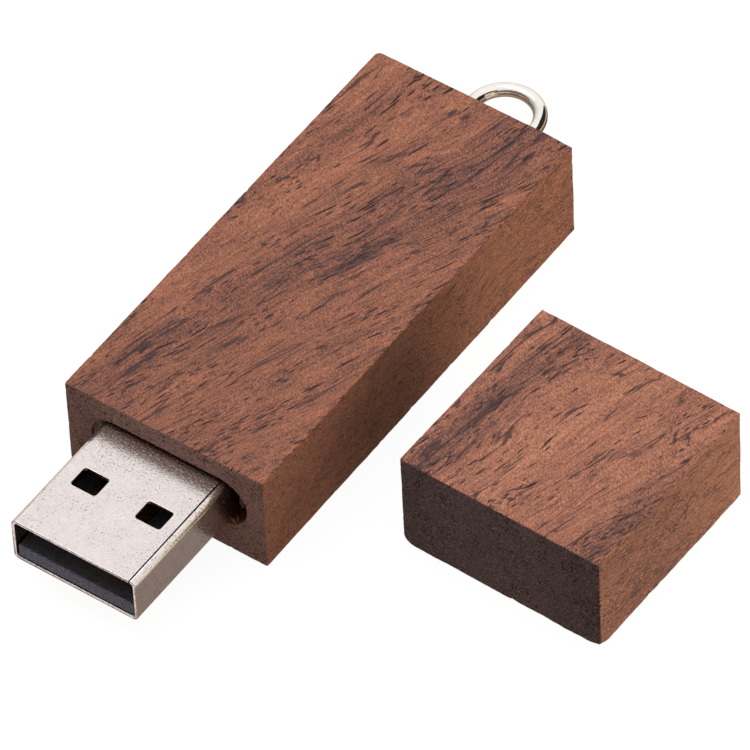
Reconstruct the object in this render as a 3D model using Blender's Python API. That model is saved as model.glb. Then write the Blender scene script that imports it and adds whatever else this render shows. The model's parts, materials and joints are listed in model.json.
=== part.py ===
"""A wooden USB flash drive with its cap off: body, plug, circuit board, screw eye and cap.

Metres, +Z up. The origin is the centre of the wooden body's underside. The plug points
along -Y, the screw eye stands out along +Y, and the loose cap lies beside the body on +X.
"""

import math

import bmesh
import bpy
from mathutils import Matrix, Vector

# Wooden body
BODY_WIDTH = 0.0191
BODY_LENGTH = 0.0427
BODY_HEIGHT = 0.0100
EDGE_BREAK = 0.00022
WORN_CORNER_RADIUS = 0.0010
WORN_CORNER_SEGMENTS = 5

# Milled pocket in the body's front face, a little off its middle
POCKET_WIDTH = 0.0150
POCKET_HEIGHT = 0.0051
POCKET_DEPTH = 0.0330
POCKET_MIDDLE_X = 0.00028
POCKET_MIDDLE_Z = 0.0054

# Cap, with the same section as the body
CAP_LENGTH = 0.0190
CAP_SLOT_WIDTH = 0.0154
CAP_SLOT_HEIGHT = 0.0049
CAP_SLOT_DEPTH = 0.0130
CAP_PLACE = (0.02644, -0.01355, 0.0)
CAP_YAW = math.radians(-1.3)

# Plug, a series A plug: places inside it are measured from its tip and its lower face
PLUG_WIDTH = 0.0120
PLUG_HEIGHT = 0.0045
PLUG_OUTSIDE = 0.01206
PLUG_BOTTOM_Z = 0.00312
SHELL_LENGTH = 0.0187
SHELL_WALL = 0.0003
SHELL_CORNER_RADIUS = 0.00055
SEAM_GAP = 0.00014
WINDOW_WIDTH = 0.00245
WINDOW_LENGTH = 0.00205
WINDOW_CORNER_RADIUS = 0.00025
WINDOW_CORNER_SEGMENTS = 4
WINDOW_OFFSET_X = 0.00310
WINDOW_FROM_TIP = 0.00650
LEG_LENGTH = 0.0030
LEG_BOTTOM = 0.0006
LEG_TOP = 0.0024

# Contact carrier
CARRIER_HALF_WIDTH = 0.00555
CARRIER_SET_BACK = 0.00012
CARRIER_BOTTOM = 0.00040
CARRIER_TONGUE_TOP = 0.00160
CARRIER_BLOCK_FRONT = 0.01230
CARRIER_BLOCK_TOP = 0.00410
CARRIER_BACK = 0.01840
CARRIER_CHAMFER = 0.0001
GROOVE_FLOOR = 0.00140
GROOVE_CEILING = 0.00195

# Contacts: the outer two reach further forward than the data pair
CONTACT_WIDTH = 0.0010
CONTACT_THICKNESS = 0.00025
CONTACT_BOTTOM = 0.00147
CONTACT_SIDE_GAP = 0.0001
POWER_CONTACT_START = 0.0020
DATA_CONTACT_START = 0.0030
OUTER_CONTACT_X = 0.0035
INNER_CONTACT_X = 0.0010
TAIL_BEND_START = 0.0185
TAIL_BEND_END = 0.0189
TAIL_END = 0.0210

# Circuit board
BOARD_FRONT = 0.0191
BOARD_BACK = 0.04450
BOARD_BOTTOM = 0.00095
BOARD_THICKNESS = 0.0008
BOARD_HALF_WIDTH = 0.0065
BOARD_NECK_HALF_WIDTH = 0.0054
BOARD_NECK_END = 0.0224
BOARD_CORNER_RADIUS = 0.0005
BOARD_CORNER_SEGMENTS = 4
SOLDER_GAP = 0.00008

# Memory chip: a thin small-outline package with leads at both short ends
FLASH_WIDTH = 0.0120
FLASH_LENGTH = 0.0184
FLASH_THICKNESS = 0.0010
FLASH_MIDDLE = 0.0338
FLASH_LIFT = 0.00006
FLASH_LEADS_PER_END = 24
FLASH_LEAD_PITCH = 0.0005
FLASH_LEAD_WIDTH = 0.00022
FLASH_LEAD_REACH = 0.0008
FLASH_LEAD_THICKNESS = 0.00015
FLASH_LEAD_ROOT = 0.0003
FLASH_LEAD_KNEE = 0.0002
FLASH_LEAD_HEEL = 0.00035

# Controller chip, a flat leadless square package, and the crystal
CONTROLLER_SIDE = 0.0060
CONTROLLER_THICKNESS = 0.00085
CONTROLLER_MIDDLE = 0.0290
PADS_PER_SIDE = 9
PAD_PITCH = 0.0005
PAD_HALF_WIDTH = 0.00012
PAD_LENGTH = 0.0004
PAD_HEIGHT = 0.0002
PAD_STEP = 0.00003
CRYSTAL_SIZE = (0.0032, 0.0025, 0.0007)
CRYSTAL_CORNER_RADIUS = 0.0002
CRYSTAL_CORNER_SEGMENTS = 3
CRYSTAL_BASE_SHARE = 0.7
CRYSTAL_LID_START_SHARE = 0.5
CRYSTAL_LID_INSET = 0.0003
CRYSTAL_LID_CORNER_RADIUS = 0.00015
CRYSTAL_PLACE = (-0.0030, 0.0362)

# Chip capacitors, resistors and the ferrite bead: places as (x, distance from the tip)
CHIP_LENGTH = 0.0016
CHIP_WIDTH = 0.0008
CAPACITOR_HEIGHT = 0.0008
RESISTOR_HEIGHT = 0.00045
TERMINAL_LENGTH = 0.0003
TERMINAL_STEP = 0.00003
CAPACITOR_PLACES = (
    (-0.0048, 0.0262),
    (-0.0048, 0.0282),
    (0.0048, 0.0262),
    (0.0048, 0.0302),
    (0.0014, 0.0362),
)
RESISTOR_PLACES = ((-0.0032, 0.0222), (-0.0010, 0.0222), (0.0048, 0.0282), (0.0048, 0.0342))
BEAD_PLACE = (0.0032, 0.0222)

# Adhesive at each side of the shell, inside the pocket: (name, middle x, half width) of each bead
GLUE_BEADS = (("glue_left", -0.00660, 0.00042), ("glue_right", 0.00688, 0.00056))
GLUE_HALF_LENGTH = 0.0021
GLUE_HALF_HEIGHT = 0.0015
GLUE_MIDDLE_Y = 0.0023
GLUE_SEGMENTS = 16
GLUE_RINGS = 8

# Screw eye: its axis runs along Y through the middle of the body's rear face
EYE_AXIS_X = 0.0001
EYE_AXIS_Z = 0.0045
EYE_RING_RADIUS = 0.00295
EYE_WIRE_RADIUS = 0.00062
EYE_RING_STANDOFF = 0.00375
EYE_THREAD_DEPTH = 0.0078
EYE_THREAD_CORE_RADIUS = 0.00055
EYE_THREAD_HEIGHT = 0.0003
EYE_THREAD_PITCH = 0.0008
EYE_THREAD_ROWS_PER_TURN = 6
EYE_THREAD_SEGMENTS = 14
EYE_THREAD_FLANK_SLOPE = 4.0
EYE_TIP_SHARE = 0.35
EYE_TIP_TURNS = 3.0
EYE_NECK_SHARE = 0.95
EYE_NECK_STEP = 0.0001
EYE_RING_SEGMENTS = 40
EYE_WIRE_SEGMENTS = 16
PILOT_RADIUS = 0.00115
PILOT_DEPTH = 0.0083
PILOT_SEGMENTS = 24

ARC_SEGMENTS = 8
HALF_ROUND_SEGMENTS = 16
SMOOTH_ANGLE = math.radians(35.0)
BEVEL_ANGLE = math.radians(40.0)
BEVEL_SEGMENTS = 2
EMPTY_SIZE = 0.005
CUTTER_OVERRUN = 0.001
FRONT_Y = -BODY_LENGTH / 2
REAR_Y = BODY_LENGTH / 2


def clear_scene():
    for obj in list(bpy.data.objects):
        bpy.data.objects.remove(obj, do_unlink=True)


def make_material(name, colour, roughness, metallic=0.0):
    material = bpy.data.materials.new(name)
    material.use_nodes = True
    shader = material.node_tree.nodes["Principled BSDF"]
    shader.inputs["Base Color"].default_value = (*colour, 1.0)
    shader.inputs["Roughness"].default_value = roughness
    shader.inputs["Metallic"].default_value = metallic
    material.diffuse_color = (*colour, 1.0)
    return material


def make_empty(name, place, yaw=0.0):
    empty = bpy.data.objects.new(name, None)
    empty.empty_display_size = EMPTY_SIZE
    empty.location = place
    empty.rotation_euler = (0.0, 0.0, yaw)
    bpy.context.scene.collection.objects.link(empty)
    return empty


def make_object(name, bm, material=None, parent=None, place=(0.0, 0.0, 0.0)):
    """Moves a bmesh into a new object, with its faces pointing out."""
    bmesh.ops.recalc_face_normals(bm, faces=bm.faces)
    mesh = bpy.data.meshes.new(name)
    bm.to_mesh(mesh)
    bm.free()
    obj = bpy.data.objects.new(name, mesh)
    bpy.context.scene.collection.objects.link(obj)
    obj.parent = parent
    obj.location = place
    if material:
        mesh.materials.append(material)
    return obj


def smooth_by_angle(obj):
    obj.data.shade_smooth()
    obj.data.set_sharp_from_angle(angle=SMOOTH_ANGLE)


def add_bevel(obj, width):
    bevel = obj.modifiers.new("edge", "BEVEL")
    bevel.width = width
    bevel.segments = BEVEL_SEGMENTS
    bevel.limit_method = "ANGLE"
    bevel.angle_limit = BEVEL_ANGLE


def add_boolean(obj, other, operation="DIFFERENCE"):
    """Combines a helper object with obj, and keeps the helper out of the model."""
    boolean = obj.modifiers.new(other.name, "BOOLEAN")
    boolean.object = other
    boolean.operation = operation
    boolean.solver = "EXACT"
    other.hide_render = True
    other.display_type = "WIRE"


def arc(centre, radius, start, end, segments=ARC_SEGMENTS):
    """Points from angle start to angle end, both in degrees."""
    points = []
    for step in range(segments + 1):
        angle = math.radians(start + (end - start) * step / segments)
        points.append((centre[0] + radius * math.cos(angle), centre[1] + radius * math.sin(angle)))
    return points


def circle(radius, count):
    """Points round a circle about the origin, the first not repeated."""
    return arc((0.0, 0.0), radius, 0.0, 360.0 - 360.0 / count, count - 1)


def obround(width, height):
    """A slot outline with half-round ends, centred on the origin."""
    radius = height / 2
    reach = width / 2 - radius
    right = arc((reach, 0.0), radius, -90, 90, HALF_ROUND_SEGMENTS)
    left = arc((-reach, 0.0), radius, 90, 270, HALF_ROUND_SEGMENTS)
    return right + left


def rounded_rectangle(width, height, radius, segments=ARC_SEGMENTS):
    x = width / 2 - radius
    y = height / 2 - radius
    points = []
    for quarter, centre in enumerate(((x, y), (-x, y), (-x, -y), (x, -y))):
        points += arc(centre, radius, 90 * quarter, 90 * quarter + 90, segments)
    return points


def prism(outline, start, end, axis):
    """Extrudes a 2-D outline along an axis; the outline's own axes are the other two, in order."""
    place = {
        "X": lambda u, v, w: (w, u, v),
        "Y": lambda u, v, w: (u, w, v),
        "Z": lambda u, v, w: (u, v, w),
    }[axis]
    bm = bmesh.new()
    first = [bm.verts.new(place(u, v, start)) for u, v in outline]
    last = [bm.verts.new(place(u, v, end)) for u, v in outline]
    bm.faces.new(first)
    bm.faces.new(reversed(last))
    for i in range(len(outline)):
        j = (i + 1) % len(outline)
        bm.faces.new((first[j], first[i], last[i], last[j]))
    return bm


def box(low, high):
    outline = [(low[0], low[1]), (high[0], low[1]), (high[0], high[1]), (low[0], high[1])]
    return prism(outline, low[2], high[2], "Z")


def add_box(bm, low, high):
    """Adds a box to a bmesh as loose geometry, for a union that follows."""
    size = Vector(high) - Vector(low)
    middle = (Vector(high) + Vector(low)) / 2
    matrix = Matrix.Translation(middle) @ Matrix.Diagonal((*size, 1.0))
    bmesh.ops.create_cube(bm, size=1.0, matrix=matrix)


def wooden_block(name, length, material, parent, worn_corner):
    """A block from y = 0 to y = length, with broken edges and, at one rear corner, a rounder edge."""
    half = BODY_WIDTH / 2
    outline = [(-half, 0.0), (half, 0.0), (half, length)]
    if worn_corner:
        centre = (-half + WORN_CORNER_RADIUS, length - WORN_CORNER_RADIUS)
        outline += arc(centre, WORN_CORNER_RADIUS, 90, 180, WORN_CORNER_SEGMENTS)
    else:
        outline.append((-half, length))
    block = make_object(name, prism(outline, 0.0, BODY_HEIGHT, "Z"), material, parent)
    add_bevel(block, EDGE_BREAK)
    return block


def build_body(frame, wood):
    body = wooden_block("wood_body", BODY_LENGTH, wood, frame, worn_corner=True)
    body.location = (0.0, FRONT_Y, 0.0)
    pocket = make_object(
        "pocket_cutter",
        prism(obround(POCKET_WIDTH, POCKET_HEIGHT), -CUTTER_OVERRUN, POCKET_DEPTH, "Y"),
        parent=frame,
        place=(POCKET_MIDDLE_X, FRONT_Y, POCKET_MIDDLE_Z),
    )
    pilot = make_object(
        "pilot_cutter",
        prism(circle(PILOT_RADIUS, PILOT_SEGMENTS), -PILOT_DEPTH, CUTTER_OVERRUN, "Y"),
        parent=frame,
        place=(EYE_AXIS_X, REAR_Y, EYE_AXIS_Z),
    )
    add_boolean(body, pocket)
    add_boolean(body, pilot)


def build_cap(frame, wood):
    """The cap's closed end is at y = 0 and its slot opens at y = CAP_LENGTH."""
    cap = wooden_block("wood_cap", CAP_LENGTH, wood, frame, worn_corner=False)
    start = CAP_LENGTH - CAP_SLOT_DEPTH
    slot = make_object(
        "cap_slot_cutter",
        prism(obround(CAP_SLOT_WIDTH, CAP_SLOT_HEIGHT), start, CAP_LENGTH + CUTTER_OVERRUN, "Y"),
        parent=frame,
        place=(0.0, 0.0, POCKET_MIDDLE_Z),
    )
    add_boolean(cap, slot)


def shell_outline():
    """The folded sheet's section: once round the outside from the seam, and back round the inside."""
    x = PLUG_WIDTH / 2 - SHELL_CORNER_RADIUS
    y = PLUG_HEIGHT / 2 - SHELL_CORNER_RADIUS
    corners = (((-x, y), 90), ((-x, -y), 180), ((x, -y), 270), ((x, y), 360))
    outside = [(x - SEAM_GAP, PLUG_HEIGHT / 2)]
    inside = [(x - SEAM_GAP, PLUG_HEIGHT / 2 - SHELL_WALL)]
    for centre, start in corners:
        outside += arc(centre, SHELL_CORNER_RADIUS, start, start + 90)
        inside += arc(centre, SHELL_CORNER_RADIUS - SHELL_WALL, start, start + 90)
    return outside + inside[::-1]


def window_cutter(frame, side):
    outline = rounded_rectangle(WINDOW_WIDTH, WINDOW_LENGTH, WINDOW_CORNER_RADIUS, WINDOW_CORNER_SEGMENTS)
    bm = prism(outline, -CUTTER_OVERRUN, PLUG_HEIGHT + CUTTER_OVERRUN, "Z")
    place = (side * WINDOW_OFFSET_X, WINDOW_FROM_TIP, 0.0)
    return make_object(f"window_cutter_{side}", bm, parent=frame, place=place)


def shell_leg(frame, side):
    """A leg that reaches back from one side wall beside the board."""
    inner = side * (PLUG_WIDTH / 2 - SHELL_WALL)
    outer = side * PLUG_WIDTH / 2
    low = (min(inner, outer), SHELL_LENGTH - LEG_LENGTH / 2, LEG_BOTTOM)
    high = (max(inner, outer), SHELL_LENGTH + LEG_LENGTH, LEG_TOP)
    return make_object(f"shell_leg_{side}", box(low, high), parent=frame)


def build_shell(frame, steel):
    shell = make_object("plug_shell", prism(shell_outline(), 0.0, SHELL_LENGTH, "Y"), steel, frame)
    shell.location.z = PLUG_HEIGHT / 2
    for side in (-1, 1):
        add_boolean(shell, window_cutter(frame, side))
    for side in (-1, 1):
        add_boolean(shell, shell_leg(frame, side), "UNION")
    smooth_by_angle(shell)


def contact_rows():
    """(name, x, start) of each contact, from the supply pin to the ground pin."""
    return (
        ("supply_contact", OUTER_CONTACT_X, POWER_CONTACT_START),
        ("data_minus_contact", INNER_CONTACT_X, DATA_CONTACT_START),
        ("data_plus_contact", -INNER_CONTACT_X, DATA_CONTACT_START),
        ("ground_contact", -OUTER_CONTACT_X, POWER_CONTACT_START),
    )


def build_carrier(frame, plastic):
    """The tongue and the block behind it, one moulding with a groove for each contact."""
    outline = [
        (CARRIER_SET_BACK, CARRIER_BOTTOM),
        (CARRIER_BACK, CARRIER_BOTTOM),
        (CARRIER_BACK, CARRIER_BLOCK_TOP),
        (CARRIER_BLOCK_FRONT, CARRIER_BLOCK_TOP),
        (CARRIER_BLOCK_FRONT, CARRIER_TONGUE_TOP),
        (CARRIER_SET_BACK + CARRIER_CHAMFER, CARRIER_TONGUE_TOP),
        (CARRIER_SET_BACK, CARRIER_TONGUE_TOP - CARRIER_CHAMFER),
    ]
    bm = prism(outline, -CARRIER_HALF_WIDTH, CARRIER_HALF_WIDTH, "X")
    carrier = make_object("contact_carrier", bm, plastic, frame)
    groove_half = CONTACT_WIDTH / 2 + CONTACT_SIDE_GAP
    for name, x, start in contact_rows():
        groove = make_object(
            f"{name}_groove",
            box(
                (x - groove_half, start - CONTACT_SIDE_GAP, GROOVE_FLOOR),
                (x + groove_half, CARRIER_BACK + CUTTER_OVERRUN, GROOVE_CEILING),
            ),
            parent=frame,
        )
        add_boolean(carrier, groove)


def contact_outline(start):
    """Side view of a contact: a flat strip with a turned-down nose, then a step up to the board."""
    board_top = BOARD_BOTTOM + BOARD_THICKNESS + SOLDER_GAP
    top = CONTACT_BOTTOM + CONTACT_THICKNESS
    nose = CONTACT_THICKNESS / 2
    return [
        (start, CONTACT_BOTTOM),
        (TAIL_BEND_START, CONTACT_BOTTOM),
        (TAIL_BEND_END, board_top),
        (TAIL_END, board_top),
        (TAIL_END, board_top + CONTACT_THICKNESS),
        (TAIL_BEND_END - nose, board_top + CONTACT_THICKNESS),
        (TAIL_BEND_START - nose, top),
        (start + nose, top),
        (start, top - nose),
    ]


def build_contacts(frame, gold):
    half = CONTACT_WIDTH / 2
    for name, x, start in contact_rows():
        make_object(name, prism(contact_outline(start), -half, half, "X"), gold, frame, (x, 0.0, 0.0))


def build_board(frame, laminate):
    """The board narrows at its front, where the shell's two legs pass it."""
    wide = BOARD_HALF_WIDTH
    neck = BOARD_NECK_HALF_WIDTH
    radius = BOARD_CORNER_RADIUS
    right = arc((wide - radius, BOARD_BACK - radius), radius, 0, 90, BOARD_CORNER_SEGMENTS)
    left = arc((-wide + radius, BOARD_BACK - radius), radius, 90, 180, BOARD_CORNER_SEGMENTS)
    outline = [(-neck, BOARD_FRONT), (neck, BOARD_FRONT), (neck, BOARD_NECK_END), (wide, BOARD_NECK_END)]
    outline += right + left + [(-wide, BOARD_NECK_END), (-neck, BOARD_NECK_END)]
    bm = prism(outline, BOARD_BOTTOM, BOARD_BOTTOM + BOARD_THICKNESS, "Z")
    make_object("circuit_board", bm, laminate, frame)


def lead_outline(direction):
    """Side view of one bent lead, from inside the package to its foot; it reaches along direction."""
    inner = FLASH_LENGTH / 2 - FLASH_LEAD_ROOT
    outer = FLASH_LENGTH / 2 + FLASH_LEAD_REACH
    knee = FLASH_LENGTH / 2 + FLASH_LEAD_KNEE
    heel = FLASH_LENGTH / 2 + FLASH_LEAD_HEEL
    middle = FLASH_THICKNESS / 2
    thick = FLASH_LEAD_THICKNESS
    points = [
        (inner, middle),
        (knee, middle),
        (heel, thick),
        (outer, thick),
        (outer, 0.0),
        (heel - thick, 0.0),
        (knee - thick, middle - thick),
        (inner, middle - thick),
    ]
    return [(direction * u, v) for u, v in points]


def flash_leads():
    """All the leads of the package, as loose geometry in one bmesh."""
    bm = bmesh.new()
    half_lead = FLASH_LEAD_WIDTH / 2
    for index in range(FLASH_LEADS_PER_END):
        x = (index - (FLASH_LEADS_PER_END - 1) / 2) * FLASH_LEAD_PITCH
        for direction in (-1, 1):
            lead = prism(lead_outline(direction), x - half_lead, x + half_lead, "X")
            scratch = bpy.data.meshes.new("lead")
            lead.to_mesh(scratch)
            lead.free()
            bm.from_mesh(scratch)
            bpy.data.meshes.remove(scratch)
    return bm


def build_flash(frame, resin):
    """The package, with its leads joined to it."""
    place = (0.0, FLASH_MIDDLE, BOARD_BOTTOM + BOARD_THICKNESS + SOLDER_GAP)
    half_w = FLASH_WIDTH / 2
    half_l = FLASH_LENGTH / 2
    package = box((-half_w, -half_l, FLASH_LIFT), (half_w, half_l, FLASH_LIFT + FLASH_THICKNESS))
    chip = make_object("flash_chip", package, resin, frame, place)
    leads = make_object("flash_leads", flash_leads(), parent=frame, place=place)
    add_boolean(chip, leads, "UNION")


def controller_pads():
    """A row of terminals along each side of the controller's mounting face."""
    half = CONTROLLER_SIDE / 2
    bm = bmesh.new()
    for index in range(PADS_PER_SIDE):
        along = (index - (PADS_PER_SIDE - 1) / 2) * PAD_PITCH
        low, high = along - PAD_HALF_WIDTH, along + PAD_HALF_WIDTH
        for side in (-1, 1):
            near, far = sorted((side * (half - PAD_LENGTH), side * (half + PAD_STEP)))
            add_box(bm, (low, near, -PAD_HEIGHT), (high, far, 0.0))
            add_box(bm, (near, low, -PAD_HEIGHT), (far, high, 0.0))
    return bm


def build_controller(frame, resin):
    """A leadless square package whose terminals stand a little proud of it."""
    place = (0.0, CONTROLLER_MIDDLE, BOARD_BOTTOM - SOLDER_GAP)
    half = CONTROLLER_SIDE / 2
    package = box((-half, -half, -CONTROLLER_THICKNESS), (half, half, -PAD_STEP))
    chip = make_object("controller_chip", package, resin, frame, place)
    pads = make_object("controller_pads", controller_pads(), parent=frame, place=place)
    add_boolean(chip, pads, "UNION")


def build_crystal(frame, can_metal):
    """A ceramic base with a metal lid that is a little smaller, one closed part."""
    place = (*CRYSTAL_PLACE, BOARD_BOTTOM - SOLDER_GAP)
    width, length, height = CRYSTAL_SIZE
    outline = rounded_rectangle(width, length, CRYSTAL_CORNER_RADIUS, CRYSTAL_CORNER_SEGMENTS)
    base = prism(outline, -height * CRYSTAL_BASE_SHARE, 0.0, "Z")
    crystal = make_object("crystal", base, can_metal, frame, place)
    width -= CRYSTAL_LID_INSET
    length -= CRYSTAL_LID_INSET
    outline = rounded_rectangle(width, length, CRYSTAL_LID_CORNER_RADIUS, CRYSTAL_CORNER_SEGMENTS)
    cover = prism(outline, -height, -height * CRYSTAL_LID_START_SHARE, "Z")
    lid = make_object("crystal_lid", cover, parent=frame, place=place)
    add_boolean(crystal, lid, "UNION")


def chip_component(name, height, place, material, frame):
    """A two-terminal chip part under the board: its end terminals stand a little proud of its middle."""
    half = CHIP_LENGTH / 2
    inner = half - TERMINAL_LENGTH
    step = TERMINAL_STEP
    outline = [(-half, 0.0), (-half, -height), (-inner, -height), (-inner, -height + step)]
    outline += [(inner, -height + step), (inner, -height), (half, -height), (half, 0.0)]
    outline += [(inner, 0.0), (inner, -step), (-inner, -step), (-inner, 0.0)]
    bm = prism(outline, -CHIP_WIDTH / 2, CHIP_WIDTH / 2, "Y")
    make_object(name, bm, material, frame, (place[0], place[1], BOARD_BOTTOM - SOLDER_GAP))


def build_passives(frame, ceramic, resistor_black, ferrite):
    for index, place in enumerate(CAPACITOR_PLACES, 1):
        chip_component(f"capacitor_{index}", CAPACITOR_HEIGHT, place, ceramic, frame)
    for index, place in enumerate(RESISTOR_PLACES, 1):
        chip_component(f"resistor_{index}", RESISTOR_HEIGHT, place, resistor_black, frame)
    chip_component("ferrite_bead", CAPACITOR_HEIGHT, BEAD_PLACE, ferrite, frame)


def build_glue(frame, adhesive):
    for name, x, half_width in GLUE_BEADS:
        bm = bmesh.new()
        bmesh.ops.create_uvsphere(bm, u_segments=GLUE_SEGMENTS, v_segments=GLUE_RINGS, radius=1.0)
        bmesh.ops.scale(bm, vec=(half_width, GLUE_HALF_LENGTH, GLUE_HALF_HEIGHT), verts=bm.verts)
        bead = make_object(name, bm, adhesive, frame, (x, FRONT_Y + GLUE_MIDDLE_Y, POCKET_MIDDLE_Z))
        bead.data.shade_smooth()


def thread_radius(turn, along):
    """Radius of the threaded shank at a place along it, after this part of a turn."""
    phase = (along / EYE_THREAD_PITCH - turn) % 1.0
    ridge = max(0.0, 1.0 - abs(phase - 0.5) * EYE_THREAD_FLANK_SLOPE)
    tip_taper = min(1.0, EYE_TIP_SHARE + along / (EYE_TIP_TURNS * EYE_THREAD_PITCH))
    return (EYE_THREAD_CORE_RADIUS + EYE_THREAD_HEIGHT * ridge) * tip_taper


def shank_rings():
    """(distance from the tip, radius at each step round) along the threaded part and the neck."""
    around = EYE_THREAD_SEGMENTS
    threaded = int(EYE_THREAD_DEPTH / EYE_THREAD_PITCH * EYE_THREAD_ROWS_PER_TURN)
    rings = []
    for row in range(threaded + 1):
        along = row * EYE_THREAD_PITCH / EYE_THREAD_ROWS_PER_TURN
        rings.append((along, [thread_radius(step / around, along) for step in range(around)]))
    neck = [EYE_WIRE_RADIUS * EYE_NECK_SHARE] * around
    rings.append((EYE_THREAD_DEPTH + EYE_NECK_STEP, neck))
    rings.append((EYE_THREAD_DEPTH + EYE_RING_STANDOFF - EYE_RING_RADIUS, neck))
    return rings


def add_threaded_shank(bm):
    """A closed bar along Y with a helical ridge, from its tip inside the wood to the ring."""
    around = EYE_THREAD_SEGMENTS
    rows = []
    for along, radii in shank_rings():
        row = []
        for step, radius in enumerate(radii):
            angle = 2 * math.pi * step / around
            x, z = radius * math.cos(angle), radius * math.sin(angle)
            row.append(bm.verts.new((x, along - EYE_THREAD_DEPTH, z)))
        rows.append(row)
    bm.faces.new(rows[0])
    bm.faces.new(reversed(rows[-1]))
    for lower, upper in zip(rows, rows[1:]):
        for step in range(around):
            after = (step + 1) % around
            bm.faces.new((lower[after], lower[step], upper[step], upper[after]))


def torus(major, minor, around, across):
    bm = bmesh.new()
    rows = []
    for i in range(around):
        turn = 2 * math.pi * i / around
        row = []
        for j in range(across):
            angle = 2 * math.pi * j / across
            reach = major + minor * math.cos(angle)
            x, y = reach * math.cos(turn), reach * math.sin(turn)
            row.append(bm.verts.new((x, y, minor * math.sin(angle))))
        rows.append(row)
    for i in range(around):
        for j in range(across):
            k = (j + 1) % across
            following = rows[(i + 1) % around]
            bm.faces.new((rows[i][j], following[j], following[k], rows[i][k]))
    return bm


def build_eye(frame, nickel):
    """The ring, joined to its threaded shank. The object's origin is on the axis that it turns about."""
    ring = torus(EYE_RING_RADIUS, EYE_WIRE_RADIUS, EYE_RING_SEGMENTS, EYE_WIRE_SEGMENTS)
    bmesh.ops.translate(ring, vec=(0.0, EYE_RING_STANDOFF, 0.0), verts=ring.verts)
    eye = make_object("screw_eye", ring, nickel, frame)
    bm = bmesh.new()
    add_threaded_shank(bm)
    shank = make_object("eye_shank", bm, parent=frame)
    add_boolean(eye, shank, "UNION")
    smooth_by_angle(eye)


def build():
    clear_scene()
    wood = make_material("walnut", (0.28, 0.13, 0.085), 0.6)
    steel = make_material("plug_nickel", (0.72, 0.68, 0.65), 0.3, 1.0)
    carrier_plastic = make_material("carrier_plastic", (0.035, 0.038, 0.048), 0.45)
    gold = make_material("contact_gold", (0.9, 0.65, 0.3), 0.25, 1.0)
    laminate = make_material("board_green", (0.02, 0.12, 0.06), 0.4)
    resin = make_material("chip_resin", (0.02, 0.02, 0.022), 0.5)
    can_metal = make_material("crystal_can", (0.7, 0.7, 0.68), 0.35, 1.0)
    ceramic = make_material("capacitor_ceramic", (0.45, 0.33, 0.22), 0.5)
    resistor_black = make_material("resistor_black", (0.02, 0.02, 0.02), 0.4)
    ferrite = make_material("bead_ferrite", (0.08, 0.08, 0.085), 0.6)
    adhesive = make_material("adhesive", (0.55, 0.45, 0.33), 0.25)
    nickel = make_material("eye_nickel", (0.85, 0.82, 0.78), 0.12, 1.0)

    drive = make_empty("drive_frame", (0.0, 0.0, 0.0))
    plug = make_empty("plug_frame", (0.0, FRONT_Y - PLUG_OUTSIDE, PLUG_BOTTOM_Z))
    cap = make_empty("cap_frame", CAP_PLACE, CAP_YAW)
    eye = make_empty("eye_frame", (EYE_AXIS_X, REAR_Y, EYE_AXIS_Z))

    build_body(drive, wood)
    build_cap(cap, wood)
    build_shell(plug, steel)
    build_carrier(plug, carrier_plastic)
    build_contacts(plug, gold)
    build_board(plug, laminate)
    build_flash(plug, resin)
    build_controller(plug, resin)
    build_crystal(plug, can_metal)
    build_passives(plug, ceramic, resistor_black, ferrite)
    build_glue(drive, adhesive)
    build_eye(eye, nickel)


build()
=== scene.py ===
import json
import math

import bmesh
import bpy
import numpy as np
from mathutils import Matrix, Vector, noise


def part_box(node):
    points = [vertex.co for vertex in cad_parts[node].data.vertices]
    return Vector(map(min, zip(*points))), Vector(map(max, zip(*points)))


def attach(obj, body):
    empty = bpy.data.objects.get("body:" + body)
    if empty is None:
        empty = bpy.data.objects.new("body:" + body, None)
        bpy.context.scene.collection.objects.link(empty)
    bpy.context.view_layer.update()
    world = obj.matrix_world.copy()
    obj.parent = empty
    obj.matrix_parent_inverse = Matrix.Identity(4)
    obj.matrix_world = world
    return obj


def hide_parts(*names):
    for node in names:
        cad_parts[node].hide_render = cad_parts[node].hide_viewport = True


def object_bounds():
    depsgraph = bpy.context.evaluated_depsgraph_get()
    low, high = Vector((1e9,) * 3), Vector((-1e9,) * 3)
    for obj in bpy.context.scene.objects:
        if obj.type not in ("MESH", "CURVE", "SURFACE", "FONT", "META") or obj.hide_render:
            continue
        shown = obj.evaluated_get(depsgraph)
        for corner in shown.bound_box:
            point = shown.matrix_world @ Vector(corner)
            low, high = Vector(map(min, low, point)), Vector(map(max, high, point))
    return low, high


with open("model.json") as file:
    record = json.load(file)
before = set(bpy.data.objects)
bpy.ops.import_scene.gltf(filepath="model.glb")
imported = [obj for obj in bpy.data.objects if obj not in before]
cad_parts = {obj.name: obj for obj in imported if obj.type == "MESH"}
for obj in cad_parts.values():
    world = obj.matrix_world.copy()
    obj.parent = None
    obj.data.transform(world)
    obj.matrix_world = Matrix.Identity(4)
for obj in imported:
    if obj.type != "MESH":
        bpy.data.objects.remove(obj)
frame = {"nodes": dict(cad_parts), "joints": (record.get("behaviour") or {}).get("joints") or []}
cad_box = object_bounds()

MM = 0.001
SCENE = bpy.context.scene

# ---------------------------------------------------------------- shader helpers


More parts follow.
